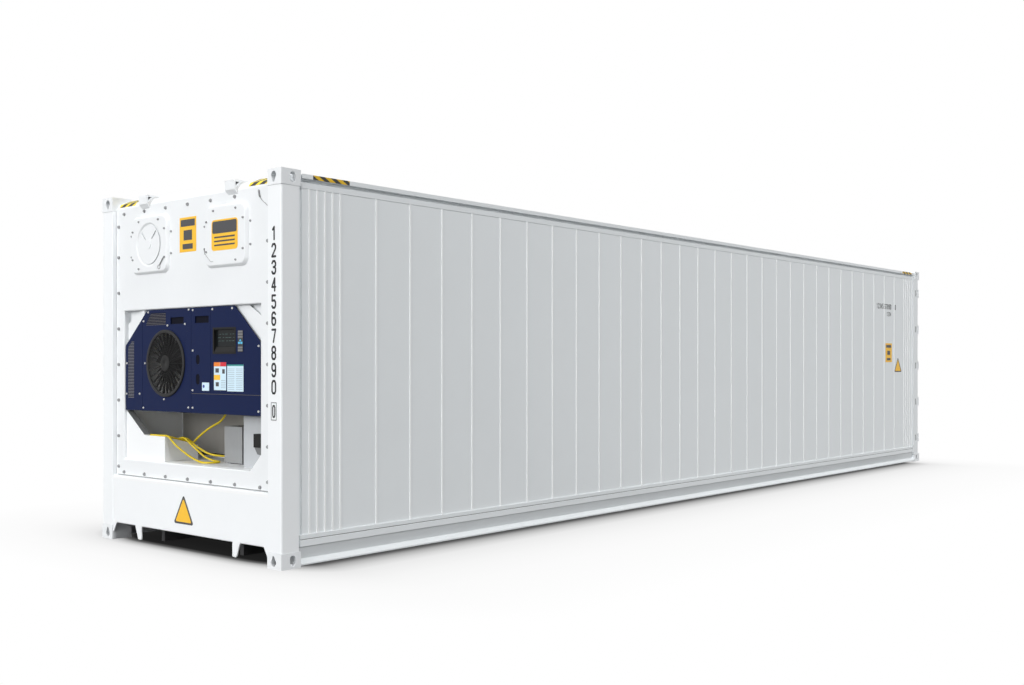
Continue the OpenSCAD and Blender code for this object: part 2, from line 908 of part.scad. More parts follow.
module compressor_cover() {
    back = cover_face + cover_block_depth;
    cheek = block_width * 0.477;
    color("white")
        union() {
            translate([0, bay_half, 0])
                rotate([90, 0, 0])
                    linear_extrude(block_width)
                        polygon([
                            [x_front + cover_face, bay_floor], [x_front + back, bay_floor],
                            [x_front + back, bay_floor + cover_back_height],
                            [x_front + cover_face, block_top]]);
            end_plate(cover_face, 60)
                polygon([[bay_half, block_top - 30], [bay_half, block_top + 200], [bay_half - cheek, block_top],
                    [bay_half - cheek, block_top - 30]]);
        }
}

module transformer() {
    color("silver")
        union() {
            translate([x_front + transformer_face, transformer_y, bay_floor + 8])
                cube([240, transformer_wide, transformer_height - 8]);
            for (y = [10, transformer_wide - 60]) {
                translate([x_front + transformer_face + 20, transformer_y + y, bay_floor])
                    cube([200, 50, 9]);
            }
        }
}

module base_rail() {
    color("black")
        translate([x_front + bay_depth - base_depth, -base_left, bay_floor + 14])
            cube([base_depth, 2 * base_left, base_height]);
}

module receiver_housing() {
    color("gainsboro")
        translate([x_front + housing_face, -bay_half, bay_floor])
            cube([housing_back - housing_face, bay_half + housing_left, housing_height]);
}

module socket_box() {
    color("black")
        translate([x_front + housing_face - 50, -bay_half + 40, bay_floor + 165])
            cube([50, 173 * bay_share, 102]);
}

module cable_gland() {
    low = bay_floor + cable_points[0][2];
    color("black")
        translate([x_front + gland_x, gland_y, low])
            union() {
                cylinder(r = cable_radius + 5, h = 14);
                translate([0, 0, 12]) cylinder(r = cable_radius + 10, h = control_bottom - low - 12);
            }
}

// Unit vector
function unit(v) = v / norm(v);

// Route with the unit's own position added
function placed(points) = [for (p = points) [x_front + p[0], p[1] * bay_share, bay_floor + p[2]]];

// Direction of the route at each point
function directions(p) = [for (i = [0:len(p) - 1])
    unit(p[min(i + 1, len(p) - 1)] - p[max(i - 1, 0)])];

// Sideways vectors that turn as little as possible along the route
function sideways(d, start) = [for (i = 0, s = unit(start - (start * d[0]) * d[0]); i < len(d);
    i = i + 1, s = i < len(d) ? unit(s - (s * d[i]) * d[i]) : s) s];

// Rings of points around the route
function rings(p, d, s) = [for (i = [0:len(p) - 1]) for (k = [0:cable_sides - 1])
    p[i] + cable_radius * (cos(k * 360 / cable_sides) * s[i] + sin(k * 360 / cable_sides) * cross(d[i], s[i]))];

// Round cable along a route
module cable(points, start) {
    p = placed(points);
    d = directions(p);
    s = sideways(d, start);
    n = cable_sides;
    last = (len(p) - 1) * n;
    polyhedron(
        points = rings(p, d, s),
        faces = concat(
            [[for (k = [0:n - 1]) k]],
            [for (i = [0:len(p) - 2]) for (k = [0:n - 1])
                [i * n + k, (i + 1) * n + k, (i + 1) * n + (k + 1) % n, i * n + (k + 1) % n]],
            [[for (k = [n - 1:-1:0]) last + k]]),
        convexity = 10);
}

module supply_cable() {
    color("gold") {
        cable(cable_points, [1, 0, 0]);
        cable(tail_points, [1, 0, 0]);
    }
}

module cable_coil() {
    color("gold")
        translate([x_front + coil_face, coil_y, coil_z])
            rotate([0, 90, 0])
                rotate_extrude()
                    translate([coil_inner, 0]) square([coil_radius - coil_inner, coil_width]);
}

module supply_plug() {
    color("dimgray")
        translate([x_front + plug_x, tail_points[0][1] * bay_share, bay_floor + plug_radius + 1])
            rotate([-90, 0, 0])
                union() {
                    cylinder(r = 20, h = 40 * bay_share);
                    translate([0, 0, 38 * bay_share]) cylinder(r = 28, h = 50 * bay_share);
                    translate([0, 0, 86 * bay_share]) cylinder(r = plug_radius, h = 54 * bay_share);
                }
}

// Plate of a generator bracket, given as depth and height over the unit front
module bracket_plate(half, thick, points) {
    translate([x_front, half, plate_top])
        rotate([90, 0, 0])
            linear_extrude(thick)
                polygon(points);
}

module generator_brackets() {
    half = 60;
    top = 91;
    sheet = 6;
    rise = header_line[2] - header_line[1];
    slope_at = [for (z = [top - sheet, top]) header_line[1][0] + (z - header_line[1][1]) * rise[0] / rise[1]];
    color("gainsboro")
        both_sides()
            translate([0, 595, 0])
                union() {
                    bracket_plate(half, 2 * half, [[4, 27], [10, 27], [10, top], [4, top]]);
                    bracket_plate(half, 2 * half, [
                        [4, 20], [plate_depth, -14], [plate_depth, -6], [10, 28], [4, 28]]);
                    bracket_plate(half, 2 * half,
                        [[9, top - sheet], [slope_at[0], top - sheet], [slope_at[1], top], [9, top]]);
                    for (y = [half, sheet - half]) {
                        difference() {
                            bracket_plate(y, sheet, [[9, 27], [80, top - 5], [9, top - 5]]);
                            translate([0, eps, 0])
                                bracket_plate(y, sheet + 2 * eps, [[17, 48], [48, top - 15], [17, top - 15]]);
                        }
                    }
                }
}

module hinge_lugs() {
    lug = 16;
    gap = 2;
    color("gainsboro")
        both_sides()
            for (z = hinge_z) {
                translate([pin_x, pin_y, z])
                    union() {
                        for (s = [0, 1]) {
                            mirror([0, 0, s])
                                translate([0, 0, hinge_height / 2 + gap])
                                    linear_extrude(lug) {
                                        circle(r = eye_radius);
                                        translate([jamb_rear - pin_x, post_out - jamb_plate - pin_y])
                                            square([pin_x - jamb_rear, jamb_plate]);
                                    }
                        }
                        translate([0, 0, -hinge_height / 2 - gap - lug])
                            cylinder(r = pin_radius, h = hinge_height + 2 * (gap + lug));
                    }
            }
}

module cam_keepers() {
    ear = 12;
    color("gainsboro")
        both_sides()
            for (y = rod_y) {
                for (s = [-1, 1]) {
                    translate([sill_rear, y + s * (cam_half + 6 + ear / 2) - ear / 2, rod_low - 10])
                        cube([36, ear, 42]);
                    translate([sill_rear, y + s * (cam_half + 6 + ear / 2) - ear / 2, rod_high - 32])
                        cube([36, ear, 42]);
                }
            }
}

// Door leaf on the +Y side
module door_leaf() {
    translate([door_back, door_gap / 2, door_bottom])
        cube([door_thickness, door_edge - door_gap / 2, door_top - door_bottom]);
}

// Seal on the inside of a leaf
module door_seal() {
    thick = 10;
    wide = 20;
    low = door_bottom + 4;
    high = door_top - 2;
    translate([door_back - thick, 0, 0])
        rotate([90, 0, 90])
            linear_extrude(thick)
                difference() {
                    translate([door_gap / 2 + 6, low]) square([door_edge - 4 - door_gap / 2 - 6, high - low]);
                    translate([door_gap / 2 + 6 + wide, low + wide + 20])
                        square([door_edge - 4 - door_gap / 2 - 6 - 2 * wide, high - low - 2 * wide - 20]);
                }
}

// Hinge blades on the outside of a leaf
module hinge_blades() {
    strap = 12;
    for (z = hinge_z) {
        translate([0, 0, z - hinge_height / 2])
            linear_extrude(hinge_height)
                difference() {
                    union() {
                        translate([pin_x, pin_y]) circle(r = eye_radius);
                        translate([door_face, pin_y - 12]) square([pin_x - door_face, 20]);
                        translate([door_face, pin_y - 170]) square([strap, 178]);
                    }
                    translate([pin_x, pin_y]) circle(r = pin_radius + pin_clearance);
                }
    }
}

// Lock rods with cams, handles and guides on a leaf
module lock_gear() {
    cam_high = 30;
    for (i = [0, 1]) {
        translate([rod_x, rod_y[i], 0])
            union() {
                translate([0, 0, rod_low]) cylinder(r = rod_radius, h = rod_high - rod_low);
                for (z = [rod_low, rod_high - cam_high]) {
                    translate([-12, -cam_half, z]) cube([24, 2 * cam_half, cam_high]);
                }
                translate([-6, i == 0 ? -400 : 0, 1150 + 180 * i]) cube([12, 400, 40]);
            }
        for (z = guide_z) {
            translate([door_face, rod_y[i] - 30, z])
                difference() {
                    cube([36, 60, 40]);
                    translate([rod_x - door_face, 30, -eps]) cylinder(r = rod_radius + 0.3, h = 40 + 2 * eps);
                }
        }
    }
}

module left_door() {
    color("gainsboro") door_leaf();
}

module left_gasket() {
    color("black") door_seal();
}

module left_hinges() {
    color("gainsboro") hinge_blades();
}

module left_lock_gear() {
    color("silver") lock_gear();
}

module right_door() {
    color("gainsboro") mirror([0, 1, 0]) door_leaf();
}

module right_gasket() {
    color("black") mirror([0, 1, 0]) door_seal();
}

module right_hinges() {
    color("gainsboro") mirror([0, 1, 0]) hinge_blades();
}

module right_lock_gear() {
    color("silver") mirror([0, 1, 0]) lock_gear();
}

corner_castings();
front_corner_posts();
rear_corner_posts();
bottom_side_rails();
top_side_rails();
front_header();
front_sill();
rear_header();
rear_sill();
side_walls();
roof_panel();
floor_panel();
floor_bars_deck();
cross_members();
tunnel_frame();
unit_bulkhead();
bay_lining();
unit_front();
vent_cover();
access_cover();
vent_disc();
casing_frame();
grille_panel();
fan_panel();
middle_panel();
control_panel();
lower_panel();
control_box();
display_tray();
keypad();
fan_shroud();
fan_guard();
fan_wheel();
fan_motor();
compressor_cover();
transformer();
base_rail();
receiver_housing();
socket_box();
cable_gland();
supply_cable();
cable_coil();
supply_plug();
generator_brackets();
hinge_lugs();
cam_keepers();
left_door();
left_gasket();
left_hinges();
left_lock_gear();
right_door();
right_gasket();
right_hinges();
right_lock_gear();
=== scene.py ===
import bpy
import bmesh
import math
from mathutils import Matrix, Vector


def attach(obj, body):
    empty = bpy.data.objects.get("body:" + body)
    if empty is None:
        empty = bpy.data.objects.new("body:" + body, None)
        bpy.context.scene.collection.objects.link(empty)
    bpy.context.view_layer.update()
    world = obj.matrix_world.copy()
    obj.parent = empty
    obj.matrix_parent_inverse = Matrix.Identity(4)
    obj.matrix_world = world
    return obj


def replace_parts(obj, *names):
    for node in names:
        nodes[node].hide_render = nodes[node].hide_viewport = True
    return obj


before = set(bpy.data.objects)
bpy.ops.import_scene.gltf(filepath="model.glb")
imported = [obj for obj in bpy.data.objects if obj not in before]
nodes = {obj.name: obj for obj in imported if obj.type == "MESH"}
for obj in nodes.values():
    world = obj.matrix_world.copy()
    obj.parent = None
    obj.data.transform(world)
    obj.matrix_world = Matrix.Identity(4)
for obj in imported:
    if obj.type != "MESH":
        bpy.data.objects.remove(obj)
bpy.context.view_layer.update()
root = "container"
xFront, xRear = -6.096, 6.096
bayFloor = 0.690
bothSides = {"R": -1, "L": 1}
print("frame loaded", len(nodes), "nodes")


# adds a node with its options, then sets each input to a value or links it to another node's output
def addNode(tree, kind, inputs=None, **options):
    n = tree.nodes.new(kind)
    for key, value in options.items():
        setattr(n, key, value)
    for key, value in (inputs or {}).items():
        if isinstance(value, bpy.types.NodeSocket):
            tree.links.new(value, n.inputs[key])
        else:
            n.inputs[key].default_value = value
    return n


# paint with a soft mottle in colour and roughness, in object space so it stays put when doors move
def makeMaterial(name, color, rough=0.4, metal=0.0, grain=60.0, tint=0.03, roughSpread=0.08,
                 bump=0.0, shine=0.5):
    mat = bpy.data.materials.new(name)
    mat.use_nodes = True
    tree = mat.node_tree
    shader = tree.nodes["Principled BSDF"]
    shader.inputs["Metallic"].default_value = metal
    shader.inputs["Specular IOR Level"].default_value = shine
    place = addNode(tree, "ShaderNodeTexCoord").outputs["Object"]
    noise = addNode(tree, "ShaderNodeTexNoise", {"Vector": place, "Scale": grain, "Detail": 4.0})
    ramp = addNode(tree, "ShaderNodeValToRGB", {"Fac": noise.outputs["Fac"]})
    for i, position, share in ((0, 0.3, 1 - tint), (1, 0.7, 1 + tint)):
        ramp.color_ramp.elements[i].position = position
        ramp.color_ramp.elements[i].color = [min(1, c * share) for c in color] + [1]
    tree.links.new(ramp.outputs["Color"], shader.inputs["Base Color"])
    spread = addNode(tree, "ShaderNodeMapRange", {
        "Value": noise.outputs["Fac"],
        "To Min": max(0.02, rough - roughSpread), "To Max": min(1, rough + roughSpread)})
    tree.links.new(spread.outputs["Result"], shader.inputs["Roughness"])
    if bump:
        fine = addNode(tree, "ShaderNodeTexNoise", {"Vector": place, "Scale": 400.0})
        rise = addNode(tree, "ShaderNodeBump", {
            "Strength": bump, "Distance": 0.002, "Height": fine.outputs["Fac"]})
        tree.links.new(rise.outputs["Normal"], shader.inputs["Normal"])
    return mat


# slanting dark bands over a colour, in a row along axis 0 (X) or 1 (Y)
def makeStripes(name, axis, pitch, lean, color, shift, share):
    mat = makeMaterial(name, color, rough=0.45)
    tree = mat.node_tree
    coords = addNode(tree, "ShaderNodeTexCoord")
    split = addNode(tree, "ShaderNodeSeparateXYZ", {"Vector": coords.outputs["Object"]})
    slant = addNode(tree, "ShaderNodeMath", {0: split.outputs["Z"], 1: lean, 2: split.outputs[axis]},
                    operation="MULTIPLY_ADD")
    turn = addNode(tree, "ShaderNodeMath", {0: slant.outputs[0], 1: 1 / pitch, 2: shift},
                   operation="MULTIPLY_ADD")
    part = addNode(tree, "ShaderNodeMath", {0: turn.outputs[0]}, operation="FRACT")
    step = addNode(tree, "ShaderNodeMath", {0: part.outputs[0], 1: share}, operation="GREATER_THAN")
    mix = addNode(tree, "ShaderNodeMix", {
        "Factor": step.outputs[0], "A": (*color, 1), "B": (0.015, 0.015, 0.015, 1)}, data_type="RGBA")
    tree.links.new(mix.outputs["Result"], tree.nodes["Principled BSDF"].inputs["Base Color"])
    return mat


coat = {"rough": 0.45, "grain": 3, "tint": 0.008, "bump": 0.02}
mats = {
    "white": makeMaterial("whitePaint", (0.87, 0.89, 0.905), **coat),
    "bright": makeMaterial("postPaint", (0.92, 0.94, 0.955), **coat),
    # paler than the white paint: painted light for the bay lining and the compressor cover
    "lining": makeMaterial("liningPaintLit", (0.95, 0.965, 0.975), **coat),
    "grey": makeMaterial("greyPaint", (0.84, 0.87, 0.885), **coat),
    "dark": makeMaterial("undercoat", (0.035, 0.035, 0.037), rough=0.8, bump=0.2),
    "blue": makeMaterial("bluePaint", (0.0075, 0.0145, 0.058), rough=0.55, grain=30, tint=0.04,
                         bump=0.03, shine=0.08),
    "black": makeMaterial("blackPlastic", (0.012, 0.012, 0.012), rough=0.6, bump=0.1, shine=0.15),
    "greyPlastic": makeMaterial("greyPlastic", (0.055, 0.055, 0.058), rough=0.5, bump=0.1, shine=0.2),
    "steel": makeMaterial("plainSteel", (0.45, 0.46, 0.47), rough=0.42, metal=0.6, grain=120, tint=0.06),
    "deck": makeMaterial("deckAluminium", (0.62, 0.63, 0.64), rough=0.4, metal=0.9, grain=90, tint=0.05),
    "cable": makeMaterial("cableJacket", (0.76, 0.57, 0.012), rough=0.5, grain=150, tint=0.05, bump=0.1),
    "rubber": makeMaterial("sealRubber", (0.012, 0.012, 0.012), rough=0.75, bump=0.15),
    "bolt": makeMaterial("boltZinc", (0.33, 0.335, 0.34), rough=0.4, metal=0.4, grain=300, tint=0.1),
    "screw": makeMaterial("screwBright", (0.72, 0.72, 0.7), rough=0.3, metal=0.3, grain=300, tint=0.05),
    "guard": makeMaterial("guardWire", (0.022, 0.022, 0.023), rough=0.5, grain=200, tint=0.1, shine=0.15),
    "hub": makeMaterial("hubGrey", (0.02, 0.02, 0.02), rough=0.6, shine=0.12),
    "housing": makeMaterial("housingGrey", (0.305, 0.314, 0.321), rough=0.45, metal=0.2, grain=20, tint=0.02),
    "plate": makeMaterial("signYellow", (0.97, 0.55, 0.028), rough=0.45, grain=40, tint=0.02),
    "ink": makeMaterial("signDark", (0.045, 0.045, 0.05), rough=0.5),
    "digit": makeMaterial("markDark", (0.028, 0.03, 0.033), rough=0.5),
    "label": makeMaterial("labelPale", (0.68, 0.86, 0.97), rough=0.4, grain=200, tint=0.02),
    "labelLine": makeMaterial("labelLines", (0.35, 0.45, 0.52), rough=0.5),
    "orange": makeMaterial("labelOrange", (0.85, 0.22, 0.02), rough=0.5),
    "red": makeMaterial("labelRed", (0.66, 0.02, 0.035), rough=0.5),
    "teal": makeMaterial("labelTeal", (0.03, 0.28, 0.27), rough=0.5),
    "keyBlue": makeMaterial("keyBlue", (0.1, 0.52, 0.8), rough=0.4),
    "keyGrey": makeMaterial("keyGrey", (0.17, 0.17, 0.175), rough=0.5),
    # near black: painted shade in holes and slots
    "slotShade": makeMaterial("slotShade", (0.009, 0.0095, 0.016), rough=0.8, shine=0.05),
    "louvre": makeMaterial("louvreEdge", (0.15, 0.15, 0.17), rough=0.5),
    "louvreTop": makeMaterial("louvreTop", (0.1, 0.092, 0.085), rough=0.5),
    # dark warm grey: painted shade on the back wall of the bay
    "bayBack": makeMaterial("bayBackShadeGrey", (0.28, 0.27, 0.25), rough=0.6, grain=8, tint=0.04, bump=0.05),
    # dark grey for painted shade: creases, grooves, hinge shadows, top edge of the cheek
    "shade": makeMaterial("paintedShadeGrey", (0.24, 0.245, 0.25), rough=0.5, grain=20, tint=0.02),
    "shroud": makeMaterial("shroudGrey", (0.75, 0.75, 0.74), rough=0.45, grain=40, tint=0.05),
    "glass": makeMaterial("screenGlass", (0.006, 0.008, 0.009), rough=0.25, grain=30, tint=0.02,
                          roughSpread=0.03, shine=0.15),
    "screenInk": makeMaterial("screenInk", (0.035, 0.075, 0.07), rough=0.5),
    "seamLine": makeMaterial("seamLine", (0.075, 0.068, 0.062), rough=0.5),
    "dot": makeMaterial("labelBlue", (0.03, 0.07, 0.35), rough=0.5),
    "wire": makeMaterial("lanyardWire", (0.32, 0.325, 0.33), rough=0.4, metal=0.5, grain=200, tint=0.05),
    "clip": makeMaterial("clipGrey", (0.24, 0.243, 0.246), rough=0.45, metal=0.3, grain=200, tint=0.08),
    "receiver": makeMaterial("receiverGrey", (0.5, 0.52, 0.54), rough=0.45, grain=20, tint=0.02),
    "hood": makeMaterial("hoodGrey", (0.15, 0.155, 0.16), rough=0.5, grain=40, tint=0.03),
    # paler than the wall paint: painted highlight on the seam beads and on the sill's upper edge
    "sealHighlight": makeMaterial("seamSealHighlight", (0.95, 0.96, 0.965), rough=0.5, grain=30, tint=0.01),
}
stripeY = makeStripes("hazardAcross", 1, 0.112, 1.2, (0.95, 0.74, 0.02), 0.0, 0.42)
# darker yellow than the header stripes: painted shade of the long sides
stripeX = makeStripes("hazardAlongShaded", 0, 0.112, 1.7, (0.8, 0.5, 0.02), 0.22, 0.5)

cadLook = {
    "bright": "front_corner_posts front_sill",
    "lining": "bay_lining compressor_cover",
    "white": "front_header unit_front vent_cover access_cover vent_disc casing_frame unit_bulkhead "
             "generator_brackets corner_castings",
    "grey": "rear_corner_posts bottom_side_rails top_side_rails rear_header rear_sill side_walls roof_panel "
            "hinge_lugs cam_keepers left_door right_door left_hinges right_hinges control_box",
    "dark": "floor_panel cross_members tunnel_frame base_rail",
    "blue": "grille_panel fan_panel middle_panel control_panel lower_panel",
    "black": "display_tray fan_wheel socket_box cable_gland supply_plug",
    "shroud": "fan_shroud",
    "greyPlastic": "keypad fan_guard",
    "steel": "fan_motor left_lock_gear right_lock_gear",
    "housing": "transformer",
    "receiver": "receiver_housing",
    "deck": "floor_bars_deck",
    "cable": "supply_cable cable_coil",
    "rubber": "left_gasket right_gasket",
}
edgeWidth = {"unit_front": 0.012, "front_sill": 0.010, "vent_disc": 0.001, "corner_castings": 0.006,
             "front_corner_posts": 0.006, "casing_frame": 0.002, "compressor_cover": 0.004}
sharpNodes = ("supply_cable", "cable_coil", "floor_bars_deck", "generator_brackets")
for look, names in cadLook.items():
    for name in names.split():
        o = nodes[name]
        o.data.materials.clear()
        o.data.materials.append(mats[look])
        if name in sharpNodes:
            continue
        weld = o.modifiers.new("weld", "WELD")
        weld.merge_threshold = 0.0001
        bevel = o.modifiers.new("edge", "BEVEL")
        bevel.width = edgeWidth.get(name, 0.002)
        bevel.segments = 3 if bevel.width > 0.003 else 2
        bevel.limit_method = "ANGLE"
        bevel.angle_limit = math.radians(35)
        even = o.modifiers.new("even", "WEIGHTED_NORMAL")
        even.weight = 80
        for p in o.data.polygons:
            p.use_smooth = True
print("cad looks done")


# pieces added to the frame, a solid one gets its normals turned outward
def addPiece(name, verts, faces, mat, smooth=False, solid=False):
    mesh = bpy.data.meshes.new(name)
    mesh.from_pydata([tuple(v) for v in verts], [], faces)
    if solid:
        bm = bmesh.new()
        bm.from_mesh(mesh)
        bmesh.ops.recalc_face_normals(bm, faces=bm.faces)
        bm.to_mesh(mesh)
        bm.free()
    mesh.update()
    o = bpy.data.objects.new(name, mesh)
    bpy.context.scene.collection.objects.link(o)
    mesh.materials.append(mat)
    for p in mesh.polygons:
        p.use_smooth = smooth
    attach(o, root)
    return o


# quads between neighbouring rings of points, each ring closed on itself
def ringFaces(rings, steps):
    faces = []
    for k in range(rings - 1):
        low, high = k * steps, (k + 1) * steps
        faces += [[low + i, low + (i + 1) % steps, high + (i + 1) % steps, high + i] for i in range(steps)]
    return faces


# flat outlines in the end view, (y, z) in metres, raised towards -X from a depth behind the front
def endSheet(name, outlines, depth, thick, mat):
    verts, faces = [], []
    for outline in outlines:
        n, base = len(outline), len(verts)
        verts += [(xFront + d, y, z) for d in (depth - thick, depth) for y, z in outline]
        faces.append([base + i for i in range(n)])
        faces.append([base + n + i for i in reversed(range(n))])
        faces += [[base + (i + 1) % n, base + i, base + n + i, base + n + (i + 1) % n] for i in range(n)]
    return addPiece(name, verts, faces, mat, solid=True)


def rect(y0, y1, z0, z1):
    return [(y0, z0), (y1, z0), (y1, z1), (y0, z1)]


def roundRect(y0, y1, z0, z1, r, steps=5):
    out = []
    corners = ((y1 - r, z0 + r, -90), (y1 - r, z1 - r, 0), (y0 + r, z1 - r, 90), (y0 + r, z0 + r, 180))
    for cy, cz, a0 in corners:
        for i in range(steps + 1):
            a = math.radians(a0 + 90 * i / steps)
            out.append((cy + r * math.cos(a), cz + r * math.sin(a)))
    return out


# raised covers with a wide sloping flank given as (inset, depth), the left one has a round recess
cover = {"y": 0.521, "z": 2.46, "halfWide": 0.27, "halfHigh": 0.24, "corner": 0.07, "steps": 180,
         "flank": ((0, 0.036), (0, 0.034), (0.015, 0.0132), (0.0185, 0.0108), (0.0235, 0.010)),
         "recess": ((0.179, 0.010), (0.1665, 0.0175), (0.166, 0.022))}


# point where a ray from the middle meets a rounded rectangle, found by halving
def edgeAt(a, w, h, r):
    c, s = math.cos(a), math.sin(a)
    near, far = 0.0, w + h
    for _ in range(30):
        t = (near + far) / 2
        dy, dz = abs(c * t) - (w - r), abs(s * t) - (h - r)
        gap = math.hypot(max(dy, 0), max(dz, 0)) + min(max(dy, dz), 0) - r
        near, far = (t, far) if gap < 0 else (near, t)
    return c * t, s * t


def coverShell(name, y, z, recess=()):
    steps = cover["steps"]
    angles = [2 * math.pi * i / steps for i in range(steps)]
    rings = []
    for inset, d in cover["flank"]:
        w, h, r = cover["halfWide"] - inset, cover["halfHigh"] - inset, cover["corner"] - inset * 0.6
        rings.append([(d, *edgeAt(a, w, h, r)) for a in angles])
    rings += [[(d, r * math.cos(a), r * math.sin(a)) for a in angles] for r, d in recess]
    verts = [(xFront + d, y + u, z + v) for ring in rings for d, u, v in ring]
    ends = [list(range(steps)), list(range(len(verts) - steps, len(verts)))]
    return addPiece(name, verts, ringFaces(len(rings), steps) + ends, mats["white"], solid=True)


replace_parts(coverShell("ventCoverShell", cover["y"], cover["z"], cover["recess"]), "vent_cover")
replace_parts(coverShell("accessCoverShell", -cover["y"], cover["z"]), "access_cover")
endSheet("headerBead", [rect(-1.056, 1.056, 2.7615, 2.7905)], 0.046, 0.0101, mats["white"])


# thin round wire through points given as (depth, y, z)
def wirePiece(name, points, radius, mat, sides=8):
    points = [Vector((xFront + d, y, z)) for d, y, z in points]
    angles = [2 * math.pi * k / sides for k in range(sides)]
    verts = []
    for i, p in enumerate(points):
        along = (points[min(i + 1, len(points) - 1)] - points[max(i - 1, 0)]).normalized()
        side = along.cross(Vector((1, 0, 0)) if abs(along.x) < 0.9 else Vector((0, 0, 1))).normalized()
        up = side.cross(along)
        verts += [p + (side * math.cos(a) + up * math.sin(a)) * radius for a in angles]
    ends = [list(range(sides)), list(range(len(verts) - sides, len(verts)))]
    return addPiece(name, verts, ringFaces(len(points), sides) + ends, mat, smooth=True, solid=True)


# lanyards and their clips, the left one ends in a small ring
ringTurns = [math.pi * k / 8 for k in range(17)]
clips = {
    "clipLeft": {"look": "clip", "radius": 0.0046, "points": (
        (0.0075, 0.286, 2.347), (0.0055, 0.306, 2.334), (0.0055, 0.346, 2.290), (0.0075, 0.354, 2.281))},
    "clipLeftRing": {"look": "wire", "radius": 0.0028, "points": [
        (0.0075, 0.364 + 0.016 * math.cos(a), 2.268 + 0.016 * math.sin(a)) for a in ringTurns]},
    "clipRight": {"look": "clip", "radius": 0.0046, "points": (
        (0.031, -0.228, 2.374), (0.026, -0.238, 2.362), (0.020, -0.256, 2.340), (0.008, -0.273, 2.330))},
    "clipRightWire": {"look": "wire", "radius": 0.0022, "points": (
        (0.008, -0.273, 2.330), (0.0072, -0.296, 2.311), (0.0072, -0.322, 2.289), (0.0072, -0.350, 2.268),
        (0.0075, -0.379, 2.266))},
    "clipTop": {"look": "clip", "radius": 0.006, "points": (
        (0.032, -0.915, 2.764), (0.029, -0.918, 2.752), (0.029, -0.926, 2.722), (0.031, -0.930, 2.712))},
    "clipTopWire": {"look": "wire", "radius": 0.0026, "points": (
        (0.031, -0.930, 2.712), (0.0325, -0.944, 2.694), (0.0325, -0.966, 2.676), (0.0325, -0.992, 2.660),
        (0.033, -1.014, 2.642))},
}
for name, clip in clips.items():
    wirePiece(name, clip["points"], clip["radius"], mats[clip["look"]])
print("covers done")


# empty geometry node tree with named inputs, and its two end nodes
def newTree(name, inputs):
    tree = bpy.data.node_groups.new(name, "GeometryNodeTree")
    sockets = tree.interface
    sockets.new_socket("Geometry", in_out="INPUT", socket_type="NodeSocketGeometry")
    for label, (kind, value) in inputs.items():
        sockets.new_socket(label, in_out="INPUT", socket_type="NodeSocket" + kind).default_value = value
    sockets.new_socket("Finish", in_out="INPUT", socket_type="NodeSocketMaterial")
    sockets.new_socket("Geometry", in_out="OUTPUT", socket_type="NodeSocketGeometry")
    return tree, addNode(tree, "NodeGroupInput").outputs, addNode(tree, "NodeGroupOutput").inputs


# every tree ends by making its instances real and painting them
def closeTree(tree, given, result, shape):
    real = addNode(tree, "GeometryNodeRealizeInstances", {"Geometry": shape})
    painted = addNode(tree, "GeometryNodeSetMaterial", {
        "Geometry": real.outputs["Geometry"], "Material": given["Finish"]})
    tree.links.new(painted.outputs["Geometry"], result["Geometry"])
    return tree


def joinShapes(tree, shapes):
    join = addNode(tree, "GeometryNodeJoinGeometry")
    for shape in shapes:
        tree.links.new(shape, join.inputs["Geometry"])
    return join.outputs["Geometry"]


# hex heads with washers on a list of points, facing -X, each with its own turn
def boltTree():
    tree, given, result = newTree("headsOnPoints", {
        "Head Radius": ("Float", 0.012), "Head Height": ("Float", 0.008), "Washer Radius": ("Float", 0.016),
        "Washer Height": ("Float", 0.002), "Sides": ("Int", 6), "Seed": ("Int", 1)})
    head = addNode(tree, "GeometryNodeMeshCylinder", {
        "Vertices": given["Sides"], "Radius": given["Head Radius"], "Depth": given["Head Height"]})
    washer = addNode(tree, "GeometryNodeMeshCylinder", {
        "Vertices": 20, "Radius": given["Washer Radius"], "Depth": given["Washer Height"]})
    half = addNode(tree, "ShaderNodeMath", {0: given["Head Height"], 1: 0.5}, operation="MULTIPLY")
    lift = addNode(tree, "ShaderNodeCombineXYZ", {"Z": half.outputs[0]})
    raised = addNode(tree, "GeometryNodeTransform", {
        "Geometry": head.outputs["Mesh"], "Translation": lift.outputs["Vector"]})
    both = joinShapes(tree, (raised.outputs["Geometry"], washer.outputs["Mesh"]))
    facing = addNode(tree, "GeometryNodeTransform", {"Geometry": both, "Rotation": (0, -math.pi / 2, 0)})
    # socket 3 is the upper limit and output 1 the value of a plain number
    spin = addNode(tree, "FunctionNodeRandomValue", {3: 6.28, "Seed": given["Seed"]}, data_type="FLOAT")
    turn = addNode(tree, "ShaderNodeCombineXYZ", {"X": spin.outputs[1]})
    put = addNode(tree, "GeometryNodeInstanceOnPoints", {
        "Points": given["Geometry"], "Instance": facing.outputs["Geometry"],
        "Rotation": turn.outputs["Vector"]})
    return closeTree(tree, given, result, put.outputs["Instances"])


# runs a node tree on a mesh of points and keeps the result as a plain mesh
def growPiece(name, tree, points, inputs):
    mesh = bpy.data.meshes.new(name)
    mesh.from_pydata([tuple(p) for p in points], [], [])
    o = bpy.data.objects.new(name, mesh)
    bpy.context.scene.collection.objects.link(o)
    mod = o.modifiers.new("grow", "NODES")
    mod.node_group = tree
    for item in tree.interface.items_tree:
        if item.in_out == "INPUT" and item.name in inputs:
            mod[item.identifier] = inputs[item.name]
    bpy.context.view_layer.update()
    depsgraph = bpy.context.evaluated_depsgraph_get()
    grown = bpy.data.meshes.new_from_object(o.evaluated_get(depsgraph), depsgraph=depsgraph)
    o.modifiers.remove(mod)
    o.data = grown
    o.data.name = name
    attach(o, root)
    return o


headTree = boltTree()
plateBolt = {"Head Radius": 0.012, "Head Height": 0.011, "Washer Radius": 0.0145, "Washer Height": 0.004,
             "Finish": mats["bolt"]}
plateX = xFront + 0.035
across = [0.309 * i for i in range(-3, 4)]
upward = (0.620, 0.878, 1.179, 1.480, 1.781, 2.082, 2.383, 2.642)
